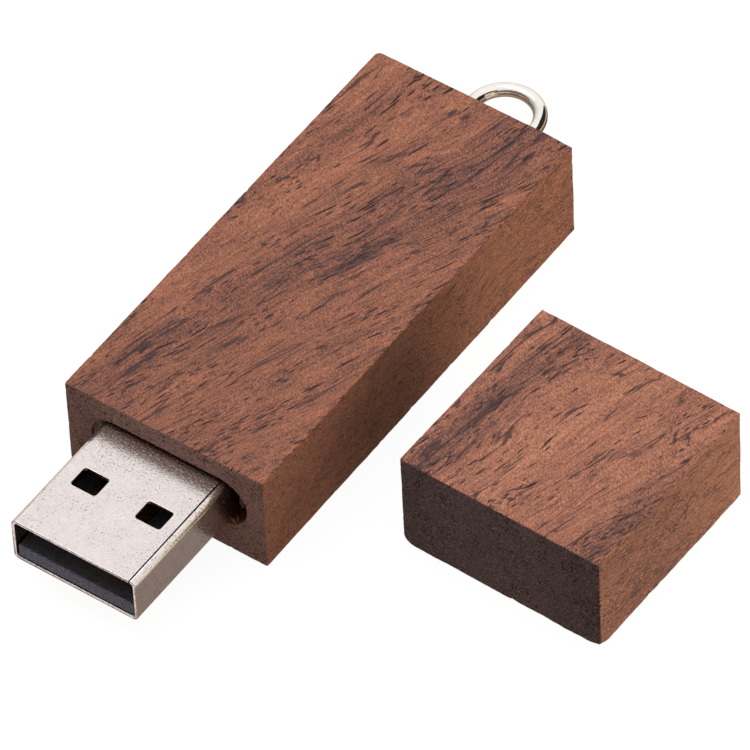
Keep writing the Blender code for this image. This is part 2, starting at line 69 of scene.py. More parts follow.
class Shader:
    """A material's node tree, with short calls for the nodes that these materials use."""

    def __init__(self, name):
        self.material = bpy.data.materials.new(name)
        self.material.use_nodes = True
        self.tree = self.material.node_tree
        self.bsdf = self.tree.nodes["Principled BSDF"]

    def node(self, kind, **settings):
        node = self.tree.nodes.new(kind)
        for key, value in settings.items():
            setattr(node, key, value)
        return node

    def put(self, socket, value):
        if hasattr(value, "links"):
            self.tree.links.new(value, socket)
        elif value is not None:
            socket.default_value = value

    def object_mm(self):
        """Object coordinates in millimetres."""
        texture = self.node("ShaderNodeTexCoord")
        return self.vector("SCALE", texture.outputs["Object"], scale=1.0 / MM)

    def vector(self, operation, a, b=None, scale=None):
        node = self.node("ShaderNodeVectorMath", operation=operation)
        self.put(node.inputs[0], a)
        self.put(node.inputs[1], b)
        if scale is not None:
            self.put(node.inputs["Scale"], scale)
        return node.outputs["Value" if operation in ("LENGTH", "DOT_PRODUCT") else "Vector"]

    def mapping(self, vector, rotation=(0, 0, 0), scale=(1, 1, 1), location=(0, 0, 0)):
        node = self.node("ShaderNodeMapping")
        self.put(node.inputs["Vector"], vector)
        node.inputs["Rotation"].default_value = [math.radians(r) for r in rotation]
        node.inputs["Scale"].default_value = scale
        node.inputs["Location"].default_value = location
        return node.outputs["Vector"]

    def noise(self, vector, scale=1.0, detail=2.0, roughness=0.5, output="Fac"):
        node = self.node("ShaderNodeTexNoise")
        self.put(node.inputs["Vector"], vector)
        node.inputs["Scale"].default_value = scale
        node.inputs["Detail"].default_value = detail
        node.inputs["Roughness"].default_value = roughness
        return node.outputs[output]

    def stretched(self, vector, scale, location=(0, 0, 0), **options):
        """A noise with its own scale along each axis."""
        return self.noise(self.mapping(vector, scale=scale, location=location), **options)

    def voronoi(self, vector):
        """Distance to the nearest cell centre, and that cell's own random number."""
        node = self.node("ShaderNodeTexVoronoi")
        self.put(node.inputs["Vector"], vector)
        node.inputs["Scale"].default_value = 1.0
        return node.outputs["Distance"], self.channels(node.outputs["Color"])[0]

    def split(self, vector):
        node = self.node("ShaderNodeSeparateXYZ")
        self.put(node.inputs[0], vector)
        return node.outputs[0], node.outputs[1], node.outputs[2]

    def channels(self, colour):
        node = self.node("ShaderNodeSeparateColor")
        self.put(node.inputs[0], colour)
        return node.outputs[0], node.outputs[1], node.outputs[2]

    def join(self, x, y, z):
        node = self.node("ShaderNodeCombineXYZ")
        for socket, value in zip(node.inputs, (x, y, z)):
            self.put(socket, value)
        return node.outputs[0]

    def add_wave(self, total, wave, weight):
        """Adds a noise, which is 0.5 on average, to a total."""
        return self.plus(total, self.times(self.minus(wave, 0.5), weight))

    def offset(self, vector, scale, detail, reach):
        """The vector moved about by a noise, at most by reach along each axis."""
        drift = self.stretched(vector, scale, detail=detail, output="Color")
        drift = self.vector("SUBTRACT", drift, (0.5, 0.5, 0.5))
        return self.vector("ADD", vector, self.vector("MULTIPLY", drift, reach))

    def math(self, operation, a, b=None, clamp=False):
        node = self.node("ShaderNodeMath", operation=operation, use_clamp=clamp)
        self.put(node.inputs[0], a)
        self.put(node.inputs[1], b)
        return node.outputs[0]

    def plus(self, a, b):
        return self.math("ADD", a, b)

    def minus(self, a, b):
        return self.math("SUBTRACT", a, b)

    def times(self, a, b):
        return self.math("MULTIPLY", a, b)

    def larger(self, a, b):
        return self.math("MAXIMUM", a, b)

    def remap(self, value, low, high, to_low=0.0, to_high=1.0):
        node = self.node("ShaderNodeMapRange", interpolation_type="SMOOTHSTEP")
        self.put(node.inputs["Value"], value)
        self.put(node.inputs["From Min"], low)
        self.put(node.inputs["From Max"], high)
        self.put(node.inputs["To Min"], to_low)
        self.put(node.inputs["To Max"], to_high)
        return node.outputs["Result"]

    def ramp(self, value, stops, interpolation="LINEAR"):
        """stops are (position, colour or grey)."""
        node = self.node("ShaderNodeValToRGB")
        self.put(node.inputs["Fac"], value)
        elements = node.color_ramp.elements
        node.color_ramp.interpolation = interpolation
        while len(elements) < len(stops):
            elements.new(1.0)
        for element, (position, colour) in zip(elements, stops):
            element.position = position
            if not hasattr(colour, "__len__"):
                colour = (colour, colour, colour)
            element.color = (*colour, 1.0)
        return node.outputs["Color"]

    def mix(self, factor, a, b, blend="MIX"):
        node = self.node("ShaderNodeMix", data_type="RGBA", blend_type=blend)
        self.put(node.inputs["Factor"], factor)
        self.put(node.inputs[6], self.rgba(a))
        self.put(node.inputs[7], self.rgba(b))
        return node.outputs[2]

    @staticmethod
    def rgba(colour):
        if hasattr(colour, "links"):
            return colour
        return (*colour, 1.0) if len(colour) == 3 else colour

    def attribute(self, name):
        return self.node("ShaderNodeAttribute", attribute_name=name).outputs["Fac"]

    def bump(self, height, distance_mm, strength):
        node = self.node("ShaderNodeBump")
        node.inputs["Strength"].default_value = strength
        node.inputs["Distance"].default_value = distance_mm * MM
        self.put(node.inputs["Height"], height)
        return node.outputs["Normal"]

    def tinted(self, colour, tint):
        return self.mix(1.0, colour, tint, "MULTIPLY")

    def surface(self, colour, wave, roughness, distance_mm, strength, **more):
        """The whole finish from a colour and one wave, which sets the roughness and the bump."""
        rough = self.remap(wave, 0.3, 0.7, *roughness)
        normal = self.bump(wave, distance_mm, strength)
        return self.set(colour=colour, roughness=rough, normal=normal, **more)

    def set(self, **sockets):
        names = {
            "colour": "Base Color",
            "roughness": "Roughness",
            "metallic": "Metallic",
            "normal": "Normal",
            "specular": "Specular IOR Level",
        }
        for key, value in sockets.items():
            if key == "colour":
                value = self.rgba(value)
            self.put(self.bsdf.inputs[names[key]], value)
        return self.material


def srgb(red, green, blue):
    """A display colour from 0 to 255, as linear numbers."""
    values = []
    for channel in (red, green, blue):
        c = channel / 255.0
        values.append(c / 12.92 if c <= 0.04045 else ((c + 0.055) / 1.055) ** 2.4)
    return tuple(values)


# ---------------------------------------------------------------- walnut


DARK_LINE = srgb(62, 44, 48)
GOLDEN_FLECK = srgb(205, 150, 96)
DARK_PORE = srgb(40, 32, 39)
END_PORE = (0.004, 0.003, 0.003)
END_GREY = 0.62
# Orange edge band: rubbed wood and a painted edge highlight
EDGE_WEAR_AND_HIGHLIGHT = srgb(172, 104, 66)
HOLE_SHADE = (0.34, 0.28, 0.25)

# How finely each mark changes, per millimetre across the fibre, along it and up
WARP, TEAR = (0.22, 0.07, 0.22), (2.4, 0.9, 2.4)
BROAD, STREAK, FIBRE = (0.7, 0.06, 0.7), (2.2, 0.13, 2.2), (5.5, 0.45, 5.5)
RIPPLE, RIPPLE_TURN = (9.0, 4.6, 9.0), (0, 0, -40)
THREAD, BREAK, GATE = (1.5, 0.05, 1.5), (1.1, 0.16, 1.1), (0.45, 0.09, 0.45)
FLECK, EDGE_FLECK = (6.5, 2.2, 6.5), (5.0, 1.3, 5.0)
LONG_VESSEL, SHORT_VESSEL, END_VESSEL = (4.2, 0.17, 4.2), (5.2, 0.72, 5.2), (3.6, 0.30, 3.6)

# How far the growth bands reach across the fibre, and the sides' painted shade along it, each way
BAND_HALF, SIDE_HALF = 16.0, 22.0


class Walnut(Shader):
    """Walnut cut from one block, so streaks and pores run through it along the fibre.

    lean is the fibre's slope towards +X on the top face, fan how it grows across the block, bend
    how it falls along it and tilt its slope up through the block.
    """

    def __init__(self, name, lean, fan, bend, tilt, shift):
        super().__init__(name)
        self.place = self.object_mm()
        self.grain, self.torn = self.fibre_space(lean, fan, bend, tilt, shift)
        self.end, self.side, self.edge = (self.attribute(label) for label in ("end", "side", "edge"))
        self.calm = self.minus(self.minus(1.0, self.times(self.end, 0.75)), self.times(self.side, 0.38))
        self.streak = self.stretched(self.torn, STREAK, detail=3.0, roughness=0.65)
        self.fibre = self.stretched(self.torn, FIBRE, detail=2.0, roughness=0.6)
        turned = self.mapping(self.grain, rotation=RIPPLE_TURN)
        self.ripple = self.stretched(turned, RIPPLE, detail=1.0)

    def fibre_space(self, lean, fan, bend, tilt, shift):
        """Places in millimetres, with the second axis along the fibre, then the same torn."""
        x, y, z = self.split(self.vector("ADD", self.place, shift))
        slope = self.plus(self.times(x, fan), lean)
        u = self.minus(x, self.times(y, slope))
        u = self.plus(u, self.times(self.times(y, y), bend))
        v = self.plus(y, self.times(x, lean))
        w = self.plus(z, self.times(y, tilt))
        grain = self.offset(self.join(u, v, w), WARP, 1.0, (2.6, 0.0, 2.6))
        return grain, self.offset(grain, TEAR, 2.0, (0.11, 0.0, 0.11))

    def grow(self, bands, heart):
        """Sets the growth bands across the fibre and the bundle of dark lines in them.

        heart is the bundle's place across and along the fibre, its half width and half length.
        """
        across = self.plus(self.split(self.grain)[0], BAND_HALF)
        band = self.ramp(self.math("DIVIDE", across, 2 * BAND_HALF), bands, "B_SPLINE")
        inside = self.vector("SUBTRACT", self.torn, (*heart[:2], 0.0))
        inside = self.vector("MULTIPLY", inside, (1.0 / heart[2], 1.0 / heart[3], 0.0))
        self.bundle = self.remap(self.vector("LENGTH", inside), 1.15, 0.25)
        self.band = self.minus(band, self.times(self.bundle, 0.26))

    def long_colour(self, tones):
        """The colour from dark to light wood where the fibre lies along the surface."""
        broad = self.stretched(self.torn, BROAD, detail=3.0, roughness=0.6)
        tone = self.band
        # The ripple's light and dark cells here are painted light and shade of the fine relief that the
        # bump also carries
        for wave, weight in ((broad, 0.50), (self.streak, 0.72), (self.fibre, 0.62), (self.ripple, 1.35)):
            tone = self.add_wave(tone, wave, weight)
        tone = self.plus(self.times(self.minus(tone, 0.5), self.calm), 0.5)
        return self.ramp(tone, tones)

    def with_lines(self, colour):
        """Thin dark lines along the fibre, broken into lengths, most of them in the dark bands."""
        thread = self.stretched(self.torn, THREAD, (7.3, 2.1, 4.4), detail=1.0)
        thread = self.math("ABSOLUTE", self.minus(thread, 0.5))
        broken = self.stretched(self.grain, BREAK, (1.0, 5.0, 2.0))
        broken = self.remap(self.minus(broken, self.times(self.band, 0.45)), 0.25, 0.36)
        broken = self.larger(broken, self.bundle)
        line = self.times(self.remap(thread, 0.052, 0.010), broken)
        colour = self.mix(self.times(self.times(line, self.calm), 0.86), colour, DARK_LINE)
        bundled = self.times(self.remap(self.fibre, 0.54, 0.44), self.bundle)
        return self.mix(self.times(bundled, 0.62), colour, DARK_LINE)

    def vessels(self, scale, location, share, widest):
        """Short vessels along the fibre: dashes where it is cut along, dots where it is cut across.

        share is how many of the cells hold one, before the gate crowds them together.
        """
        distance, chance = self.voronoi(self.mapping(self.torn, scale=scale, location=location))
        chance = self.add_wave(chance, self.gate, 1.3)
        size = self.remap(chance, 1.0 - share, 1.15 - share, 0.0, widest)
        return self.remap(distance, size, self.times(size, 0.45))

    def with_pores(self, colour):
        gate = self.stretched(self.grain, GATE, (3.0, 8.0, 1.0))
        self.gate = self.minus(gate, self.times(self.minus(self.band, 0.5), 0.25))
        long_vessel = self.vessels(LONG_VESSEL, (0, 0, 0), 0.19, 0.46)
        short_vessel = self.vessels(SHORT_VESSEL, (5.1, 3.3, 9.7), 0.19, 0.48)
        self.pores = self.larger(long_vessel, self.times(short_vessel, 0.9))
        shown = self.minus(0.95, self.times(self.side, 0.62))
        return self.mix(self.times(self.pores, shown), colour, DARK_PORE)

    def with_sides(self, colour, tint, stops):
        """The long sides, flecked, with a painted light tint and painted shade along the block, partly the
        wood's own change of colour.
        """
        along = self.plus(self.split(self.place)[1], SIDE_HALF)
        along = self.math("DIVIDE", along, 2 * SIDE_HALF)
        # Painted light and shade: how bright the long sides are along the block, for how the light falls on
        # them
        shade = self.tinted(self.ramp(along, stops, "B_SPLINE"), tint)
        fleck = self.stretched(self.grain, FLECK, (2.0, 6.0, 3.0), detail=1.0)
        flecked = self.mix(self.remap(fleck, 0.58, 0.70, 0.0, 0.42), colour, GOLDEN_FLECK)
        return self.mix(self.side, colour, self.tinted(flecked, shade))

    def with_ends(self, colour, tint, pale_tint, dark_tint):
        """The end grain: greyer, with pale and dark specks and open pores."""
        grey = self.node("ShaderNodeHueSaturation")
        grey.inputs["Saturation"].default_value = END_GREY
        self.put(grey.inputs["Color"], colour)
        ends = self.tinted(grey.outputs[0], tint)
        specks = self.noise(self.place, scale=6.0, detail=1.5, roughness=0.6, output="Color")
        pale, dark, _ = self.channels(specks)
        pale_ends, dark_ends = self.tinted(ends, pale_tint), self.tinted(ends, dark_tint)
        ends = self.mix(self.remap(pale, 0.53, 0.66, 0.0, 0.80), ends, pale_ends)
        ends = self.mix(self.remap(dark, 0.50, 0.62, 0.0, 0.70), ends, dark_ends)
        dots = self.vessels(END_VESSEL, (2.2, 6.1, 3.9), 0.50, 0.25)
        ends = self.mix(self.times(self.larger(self.pores, dots), 0.92), ends, END_PORE)
        return self.mix(self.end, colour, ends)

    def with_wear_and_hole_shade(self, colour):
        """Edges rubbed warm with a painted highlight, dark flecks along the edges, and painted shade on the
        holes' walls.
        """
        # Orange band along the edges: rubbed wood, and a painted highlight on the rounded edge
        wear_and_highlight = self.times(self.remap(self.edge, 0.15, 0.60), self.remap(self.streak, 0.43, 0.56))
        colour = self.mix(self.times(wear_and_highlight, 0.36), colour, EDGE_WEAR_AND_HIGHLIGHT)
        # Dark flecks along the edges
        edge_fleck = self.stretched(self.grain, EDGE_FLECK, (4.0, 7.0, 6.0))
        edge_fleck = self.times(self.remap(edge_fleck, 0.54, 0.62), self.remap(self.edge, 0.10, 0.45))
        colour = self.mix(self.times(edge_fleck, 0.75), colour, DARK_PORE)
        # Painted shade on the holes' walls, darker deeper in
        return self.mix(self.attribute("deep"), colour, self.tinted(colour, HOLE_SHADE))

    def finish(self, colour):
        height = self.minus(self.times(self.fibre, 0.4), self.pores)
        height = self.plus(height, self.times(self.ripple, 1.5))
        rough = self.remap(self.fibre, 0.3, 0.7, 0.50, 0.66)
        rough = self.math("ADD", rough, self.times(self.pores, 0.2), clamp=True)
        normal = self.bump(height, 0.062, 0.9)
        return self.set(colour=colour, roughness=rough, specular=0.22, normal=normal)


def walnut(name, fibre, heart, bands, tones, end_tints, side_painted_light, side_painted_shade):
    """end_tints multiply the end grain, its pale specks and its dark ones; the sides' tint and stops paint
    light and shade on the long sides.
    """
    wood = Walnut(name, **fibre)
    wood.grow(bands, heart)
    colour = wood.with_lines(wood.long_colour(tones))
    colour = wood.with_sides(wood.with_pores(colour), side_painted_light, side_painted_shade)
    return wood.finish(wood.with_wear_and_hole_shade(wood.with_ends(colour, *end_tints)))


def even_tones(*colours):
    """Display colours at equal steps from dark to light."""
    return [(i / (len(colours) - 1), srgb(*colour)) for i, colour in enumerate(colours)]


BODY_TONES = even_tones((80, 56, 55), (108, 71, 62), (143, 92, 73), (166, 108, 83), (188, 128, 97))
CAP_TONES = even_tones((90, 62, 58), (121, 80, 68), (155, 102, 82), (179, 120, 94), (202, 141, 109))
BODY_BANDS = (
    *((0.00, 0.52), (0.13, 0.64), (0.19, 0.56), (0.21, 0.30), (0.23, 0.56), (0.30, 0.62)),
    *((0.335, 0.50), (0.40, 0.54), (0.43, 0.38), (0.475, 0.34), (0.52, 0.37), (0.57, 0.42)),
    *((0.62, 0.50), (0.74, 0.47), (0.83, 0.50), (0.90, 0.46), (1.00, 0.50)),
)
CAP_BANDS = (
    *((0.00, 0.48), (0.20, 0.58), (0.26, 0.34), (0.29, 0.16), (0.32, 0.34), (0.38, 0.54)),
    *((0.45, 0.60), (0.55, 0.56), (0.62, 0.48), (0.70, 0.54), (0.76, 0.46), (0.82, 0.18)),
    (1.00, 0.35),
)
body_wood = walnut(
    "walnut_body",
    fibre={"lean": 0.33, "fan": 0.010, "bend": 0.0020, "tilt": 0.11, "shift": (0.5, 0.0, 0.0)},
    heart=(2.0, 3.3, 0.9, 5.2),
    bands=BODY_BANDS,
    tones=BODY_TONES,
    end_tints=((0.90, 0.85, 0.82), (2.2, 1.9, 1.8), (0.45, 0.43, 0.43)),
    # Painted light and shade on the long sides, along the block
    side_painted_light=(1.53, 1.56, 1.53),
    side_painted_shade=((0.0, 0.62), (0.2, 0.56), (0.38, 0.31), (0.55, 0.46), (0.72, 0.77), (1.0, 0.83)),
)
cap_wood = walnut(
    "walnut_cap",
    fibre={"lean": 0.22, "fan": 0.012, "bend": 0.0, "tilt": 0.13, "shift": (-26.5, 4.5, 23.0)},
    heart=(-6.4, -2.0, 0.6, 3.0),
    bands=CAP_BANDS,
    tones=CAP_TONES,
    end_tints=((0.325, 0.355, 0.435), (2.9, 2.3, 1.9), (0.36, 0.35, 0.35)),
    # Painted light: the cap's long sides tinted brighter
    side_painted_light=(1.27, 1.35, 1.37),
    side_painted_shade=((0.0, 1.0), (1.0, 1.0)),
)

# ---------------------------------------------------------------- other materials


def nickel_satin():
    """Nickel plate over rolled steel: an orange-peel surface with fine pits and stained specks."""
    s = Shader("plug_nickel")
    place = s.object_mm()
    patch = s.noise(s.mapping(place, location=(4.0, 1.0, 0.0)), scale=0.42)
    peel = s.noise(place, scale=4.2, roughness=0.6)
    pit = s.noise(s.mapping(place, location=(9.0, 3.0, 2.0)), scale=5.5, detail=3.0, roughness=0.7)
    pit = s.remap(pit, 0.545, 0.63)
    dots = s.times(pit, s.remap(patch, 0.38, 0.60, 0.25, 1.0))
    cloud = s.noise(place, scale=1.6, detail=3.0, roughness=0.6)
    colour = s.ramp(cloud, ((0.25, (0.76, 0.71, 0.71)), (0.75, (0.86, 0.81, 0.81))))
    # Painted reflection and painted shade: the metal is browner and darker towards the wood's front face,
    # mottled by the peel
    from_wood = s.minus(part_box("wood_body")[0].y / MM, s.split(place)[1])
    wood_reflection_shade = s.remap(s.add_wave(from_wood, peel, 2.6), 2.5, 0.1, 0.0, 0.62)
    colour = s.mix(wood_reflection_shade, colour, (0.37, 0.255, 0.20))
    colour = s.mix(s.times(dots, 0.85), colour, (0.30, 0.225, 0.20))
    rough = s.remap(peel, 0.3, 0.7, 0.10, 0.18)
    rough = s.plus(rough, s.times(dots, 0.12))
    rough = s.plus(rough, s.remap(from_wood, 3.2, 0.6, 0.0, 0.10))
    height = s.plus(peel, s.times(pit, -0.25))
    return s.set(colour=colour, roughness=rough, metallic=1.0, normal=s.bump(height, 0.030, 0.55))


def nickel_polished():
    """Bright plate over drawn wire, with faint drawing marks."""
    s = Shader("eye_nickel")
    place = s.object_mm()
    cloud = s.noise(place, scale=1.4, detail=3.0)
    colour = s.ramp(cloud, ((0.3, (0.90, 0.88, 0.86)), (0.7, (0.96, 0.95, 0.94))))
    scratch = s.stretched(place, (9, 2, 9), detail=3.0)
    rough = s.remap(scratch, 0.35, 0.7, 0.03, 0.08)
    return s.set(colour=colour, roughness=rough, metallic=1.0, normal=s.bump(scratch, 0.003, 0.35))


def moulded(name, colour, lighter, roughness, scale):
    s = Shader(name)
    place = s.object_mm()
    cloud = s.noise(place, scale=scale, detail=3.0, roughness=0.6)
    scuff = s.stretched(place, (2.0, 11.0, 11.0))
    tone = s.mix(s.remap(cloud, 0.35, 0.7), colour, lighter)
    tone = s.mix(s.times(s.remap(scuff, 0.62, 0.72), 0.35), tone, lighter)
    return s.surface(tone, cloud, roughness, 0.008, 0.4)


def tongue_plastic():
    """Dark slate moulding, with the front face painted a paler slate as painted light."""
    s = Shader("carrier_plastic")
    place = s.object_mm()
    cloud = s.noise(place, scale=6.0, detail=3.0, roughness=0.6)
    rub = s.stretched(place, (1.4, 9.0, 9.0), detail=3.0, roughness=0.6)
    tone = s.mix(s.remap(cloud, 0.35, 0.7), (0.024, 0.022, 0.027), (0.058, 0.053, 0.060))
    tone = s.mix(s.times(s.remap(rub, 0.60, 0.72), 0.5), tone, (0.06, 0.06, 0.07))
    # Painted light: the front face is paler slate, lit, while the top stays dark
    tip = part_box("contact_carrier")[0].y / MM
    front = s.remap(s.minus(s.split(place)[1], tip), 0.10, 0.02)
    slate = s.mix(s.remap(cloud, 0.44, 0.60), (0.033, 0.039, 0.066), (0.146, 0.163, 0.250))
    tone = s.mix(front, tone, slate)
    return s.surface(tone, cloud, (0.34, 0.5), 0.010, 0.4)


def plated(name, colour, darker, roughness):
    s = Shader(name)
    place = s.object_mm()
    cloud = s.noise(place, scale=3.0, detail=3.0)
    brushed = s.stretched(place, (14.0, 1.2, 14.0))
    tone = s.mix(s.remap(cloud, 0.4, 0.65), colour, darker)
    return s.surface(tone, brushed, roughness, 0.004, 0.4, metallic=1.0)


def laminate():
    """Green board with the weave of its glass cloth."""
    s = Shader("board_laminate")
    place = s.object_mm()
    weave = s.node("ShaderNodeTexChecker")
    s.put(weave.inputs["Vector"], place)
    weave.inputs["Scale"].default_value = 2.2
    cloud = s.noise(place, scale=1.5, detail=3.0)
    tone = s.mix(s.remap(cloud, 0.35, 0.65), (0.012, 0.085, 0.040), (0.020, 0.120, 0.055))
    tone = s.mix(s.times(weave.outputs["Fac"], 0.15), tone, (0.035, 0.15, 0.07))
    rough = s.remap(cloud, 0.3, 0.7, 0.28, 0.42)
    return s.set(colour=tone, roughness=rough, normal=s.bump(weave.outputs["Fac"], 0.004, 0.3))


def ceramic(name, body, terminals, reach, middle):
    """A chip part: ceramic as far as reach from its middle, between two tinned ends."""
    s = Shader(name)
    place = s.object_mm()
    grain = s.noise(place, scale=12.0, detail=3.0)
    tone = s.mix(s.remap(grain, 0.35, 0.65), body, tuple(c * 1.25 for c in body))
    along = s.math("ABSOLUTE", s.split(s.vector("SUBTRACT", place, middle))[0])
    tinned = s.remap(along, reach - 0.02, reach + 0.02)
    return s.surface(s.mix(tinned, tone, terminals), grain, (0.35, 0.55), 0.01, 0.4, metallic=tinned)


def hot_glue():
    """Brown, uneven adhesive."""
    s = Shader("adhesive")
    place = s.object_mm()
    cloud = s.noise(place, scale=2.4, detail=4.0, roughness=0.6)
    stops = ((0.3, (0.045, 0.030, 0.024)), (0.5, (0.085, 0.058, 0.046)), (0.75, (0.15, 0.105, 0.082)))
    return s.surface(s.ramp(cloud, stops), cloud, (0.2, 0.5), 0.05, 0.6)


plug_metal = nickel_satin()
eye_metal = nickel_polished()
carrier_black = tongue_plastic()
contact_gold = plated("contact_gold", (0.92, 0.66, 0.30), (0.80, 0.52, 0.20), (0.2, 0.34))
board_green = laminate()
resin_black = moulded("chip_resin", (0.014, 0.014, 0.016), (0.028, 0.028, 0.030), (0.42, 0.6), 12.0)
crystal_metal = plated("crystal_can", (0.72, 0.71, 0.68), (0.55, 0.54, 0.51), (0.25, 0.4))
glue = hot_glue()

# ---------------------------------------------------------------- mesh helpers


def add_piece(name, mesh, material, body, slot, *replaced):
    piece = bpy.data.objects.new(name, mesh)
    SCENE.collection.objects.link(piece)
    mesh.materials.clear()
    mesh.materials.append(material)
    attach(piece, body)
    if replaced:
        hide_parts(*replaced)


def new_mesh(name, bm):
    mesh = bpy.data.meshes.new(name)
    bm.to_mesh(mesh)
    bm.free()
    return mesh


def finish_mesh(bm, name, sharp=None):
    bmesh.ops.recalc_face_normals(bm, faces=bm.faces)
    mesh = new_mesh(name, bm)
    mesh.shade_smooth()
    if sharp:
        mesh.set_sharp_from_angle(angle=math.radians(sharp))
    return mesh


def bridge(bm, rows):
    """Quads between closed rows of vertices, each row joined to the next."""
    for lower, upper in zip(rows, rows[1:]):
        for j in range(len(lower)):
            k = (j + 1) % len(lower)
            bm.faces.new((lower[k], lower[j], upper[j], upper[k]))


# ---------------------------------------------------------------- wooden blocks

# Spacing of points along an edge, in millimetres: fine at its ends, then wider, then coarse
FINE, FINE_REACH, MIDDLE, MIDDLE_REACH, COARSE = 0.05, 0.40, 0.11, 1.25, 0.25
CLOSED_FACE = (0.01, 0.02, 0.03, 0.045, 0.07, 0.1, 0.15, 0.22, 0.3, 0.4, 0.5, 0.6, 0.7, 0.8)
HOLED_FACE = (0.015, 0.03, 0.045, 0.065, 0.09, 0.13, 0.19, 0.27, 0.36)
HOLED_FACE += (0.46, 0.57, 0.68, 0.78, 0.87, 0.94, 0.98, 1.0)


def steps(length):
    """Distances from one end of an edge to the other, closest together near both ends."""
    near = list(np.arange(0.0, FINE_REACH, FINE)) + list(np.arange(FINE_REACH, MIDDLE_REACH, MIDDLE))
    inside = length - 2 * MIDDLE_REACH
    count = max(2, int(round(inside / COARSE)))
    flat = [MIDDLE_REACH + inside * i / count for i in range(count + 1)]
    return np.array(near + flat + [length - d for d in reversed(near)])


def rectangle(width, height):
    """Points round a sharp rectangle, in order, with x about its middle and z from 0."""
    xs = steps(width) - width / 2
    zs = steps(height)
    below = [(x, 0.0) for x in xs[:-1]]
    right = [(width / 2, z) for z in zs[:-1]]
    above = [(x, height) for x in xs[:0:-1]]
    left = [(-width / 2, z) for z in zs[:0:-1]]
    return np.array(below + right + above + left)


class Hole:
    """A slot with half-round ends, or a round hole when its spine has no length."""

    def __init__(self, x, z, width, height, depth, chamfer, rough, seed):
        self.centre = np.array((x, z))
        self.radius = height / 2
        self.spine = width / 2 - self.radius
        self.depth = depth
        self.chamfer = chamfer
        self.rough = rough
        self.seed = seed

    def outline(self, around, grow=0.0):
        """The hole's own outline, with one point for each point of the outer rectangle."""
        out = np.empty_like(around)
        for i, (x, z) in enumerate(around):
            q = max(-self.spine, min(self.spine, x - self.centre[0]))
            root = self.centre + (q, 0.0)
            direction = np.array((x, z)) - root
            direction /= np.linalg.norm(direction)
            out[i] = root + direction * (self.radius + grow)
        if grow and self.rough:
            for i, (x, z) in enumerate(out):
                wobble = noise.noise(Vector((x * 2.6, self.seed, z * 2.6)))
                wobble += 0.6 * noise.noise(Vector((x * 7.0, self.seed + 9.0, z * 7.0)))
                out[i] += (out[i] - self.centre) * (self.rough * max(wobble, -0.2) / self.radius)
        return out


def face_rings(around, hole, y, inward):
    """Rings across an end face from its outer edge to the hole, then down the hole's wall."""
    if hole is None:
        centre = np.array((0.0, around[:, 1].mean()))
        return [(around * (1 - f) + centre * f, y) for f in CLOSED_FACE]
    lip, wall = hole.outline(around, hole.chamfer), hole.outline(around)
    rings = [(around * (1 - f) + lip * f, y) for f in HOLED_FACE]
    for share in (0.35, 0.7):
        rings.append((lip * (1 - share) + wall * share, y + inward * hole.chamfer * share * 0.8))
    depth = hole.chamfer
    while depth < hole.depth:
        rings.append((wall, y + inward * depth))
        depth = depth * 1.6 + 0.05
    rings.append((wall, y + inward * hole.depth))
    return rings


def wear_along(along, seed):
    """An edge's slow change of wear along it, about 1, and small chips knocked out, mostly 0."""
    change, chips = [], []
    for s in along:
        slow = noise.noise(Vector((s * 0.45, seed, 0.3)))
        quick = noise.noise(Vector((s * 2.3, seed + 5.0, 1.7)))
        change.append(1.0 + 0.40 * slow + 0.25 * quick)
        chips.append(max(0.0, noise.noise(Vector((s * 1.9, seed + 31.0, 2.2))) - 0.40) * 0.6)
    return np.array(change), np.array(chips)


def round_edge(points, size, seed, first, second, radius, ends=None):
    """Rounds the edge where two faces of the block meet. A face is (axis, 0 or 1).

    ends gives extra wear from the place along the edge.
    """
    (axis_a, far_a), (axis_b, far_b) = first, second
    along = points[:, 3 - axis_a - axis_b]
    change, chips = wear_along(along, seed)
    r = radius * change + chips
    if ends is not None:
        r = r + ends(along)
    a = size[axis_a] - points[:, axis_a] if far_a else points[:, axis_a].copy()
    b = size[axis_b] - points[:, axis_b] if far_b else points[:, axis_b].copy()
    va, vb = r - a, r - b
    length = np.sqrt(va * va + vb * vb)
    hit = (va > 0) & (vb > 0) & (length > r)
    scale = np.where(hit, r / np.maximum(length, 1e-9), 1.0)
    new_a = np.where(hit, r - va * scale, a)
    new_b = np.where(hit, r - vb * scale, b)
    points[:, axis_a] = size[axis_a] - new_a if far_a else new_a
    points[:, axis_b] = size[axis_b] - new_b if far_b else new_b


def corner_wear(place, reach, amount):
    """More wear near one end of an edge."""
    return lambda along: amount * np.exp(-(((along - place) / reach) ** 2))


def both_corners(length, reach, near, far):
    """More wear near both ends of an edge."""
    return lambda along: corner_wear(0.0, reach, near)(along) + corner_wear(length, reach, far)(along)


def sand(points, shifted, low, outer, size, seed):
    """The long faces are hand sanded, so they dip by a few hundredths of a millimetre."""
    for axis in (0, 2):
        for i in np.nonzero((low[:, axis] < 0.02) & (outer > 0))[0]:
            x, y, z = points[i]
            dip = noise.noise(Vector((x * 0.35, y * 0.25 + seed, z * 0.35)))
            dip += 0.35 * noise.noise(Vector((x * 1.7, y * 0.6, z * 1.7 + seed)))
            inward = 0.014 + 0.012 * max(-1.0, min(1.0, dip))
            points[i, axis] += inward if shifted[i, axis] < size[axis] / 2 else -inward


def closed_tube(name, points, count):
    """A mesh from rings of count points each, with both ends closed."""
    faces = [tuple(range(count))]
    last = len(points) - count
    for start in range(0, last, count):
        for i in range(count):
            j = (i + 1) % count
            faces.append((start + i, start + j, start + count + j, start + count + i))
    faces.append(tuple(last + i for i in reversed(range(count))))
    mesh = bpy.data.meshes.new(name)
    mesh.from_pydata([tuple(p * MM) for p in points], [], faces)
    bm = bmesh.new()
    bm.from_mesh(mesh)
    bpy.data.meshes.remove(mesh)
    return finish_mesh(bm, name, sharp=50)


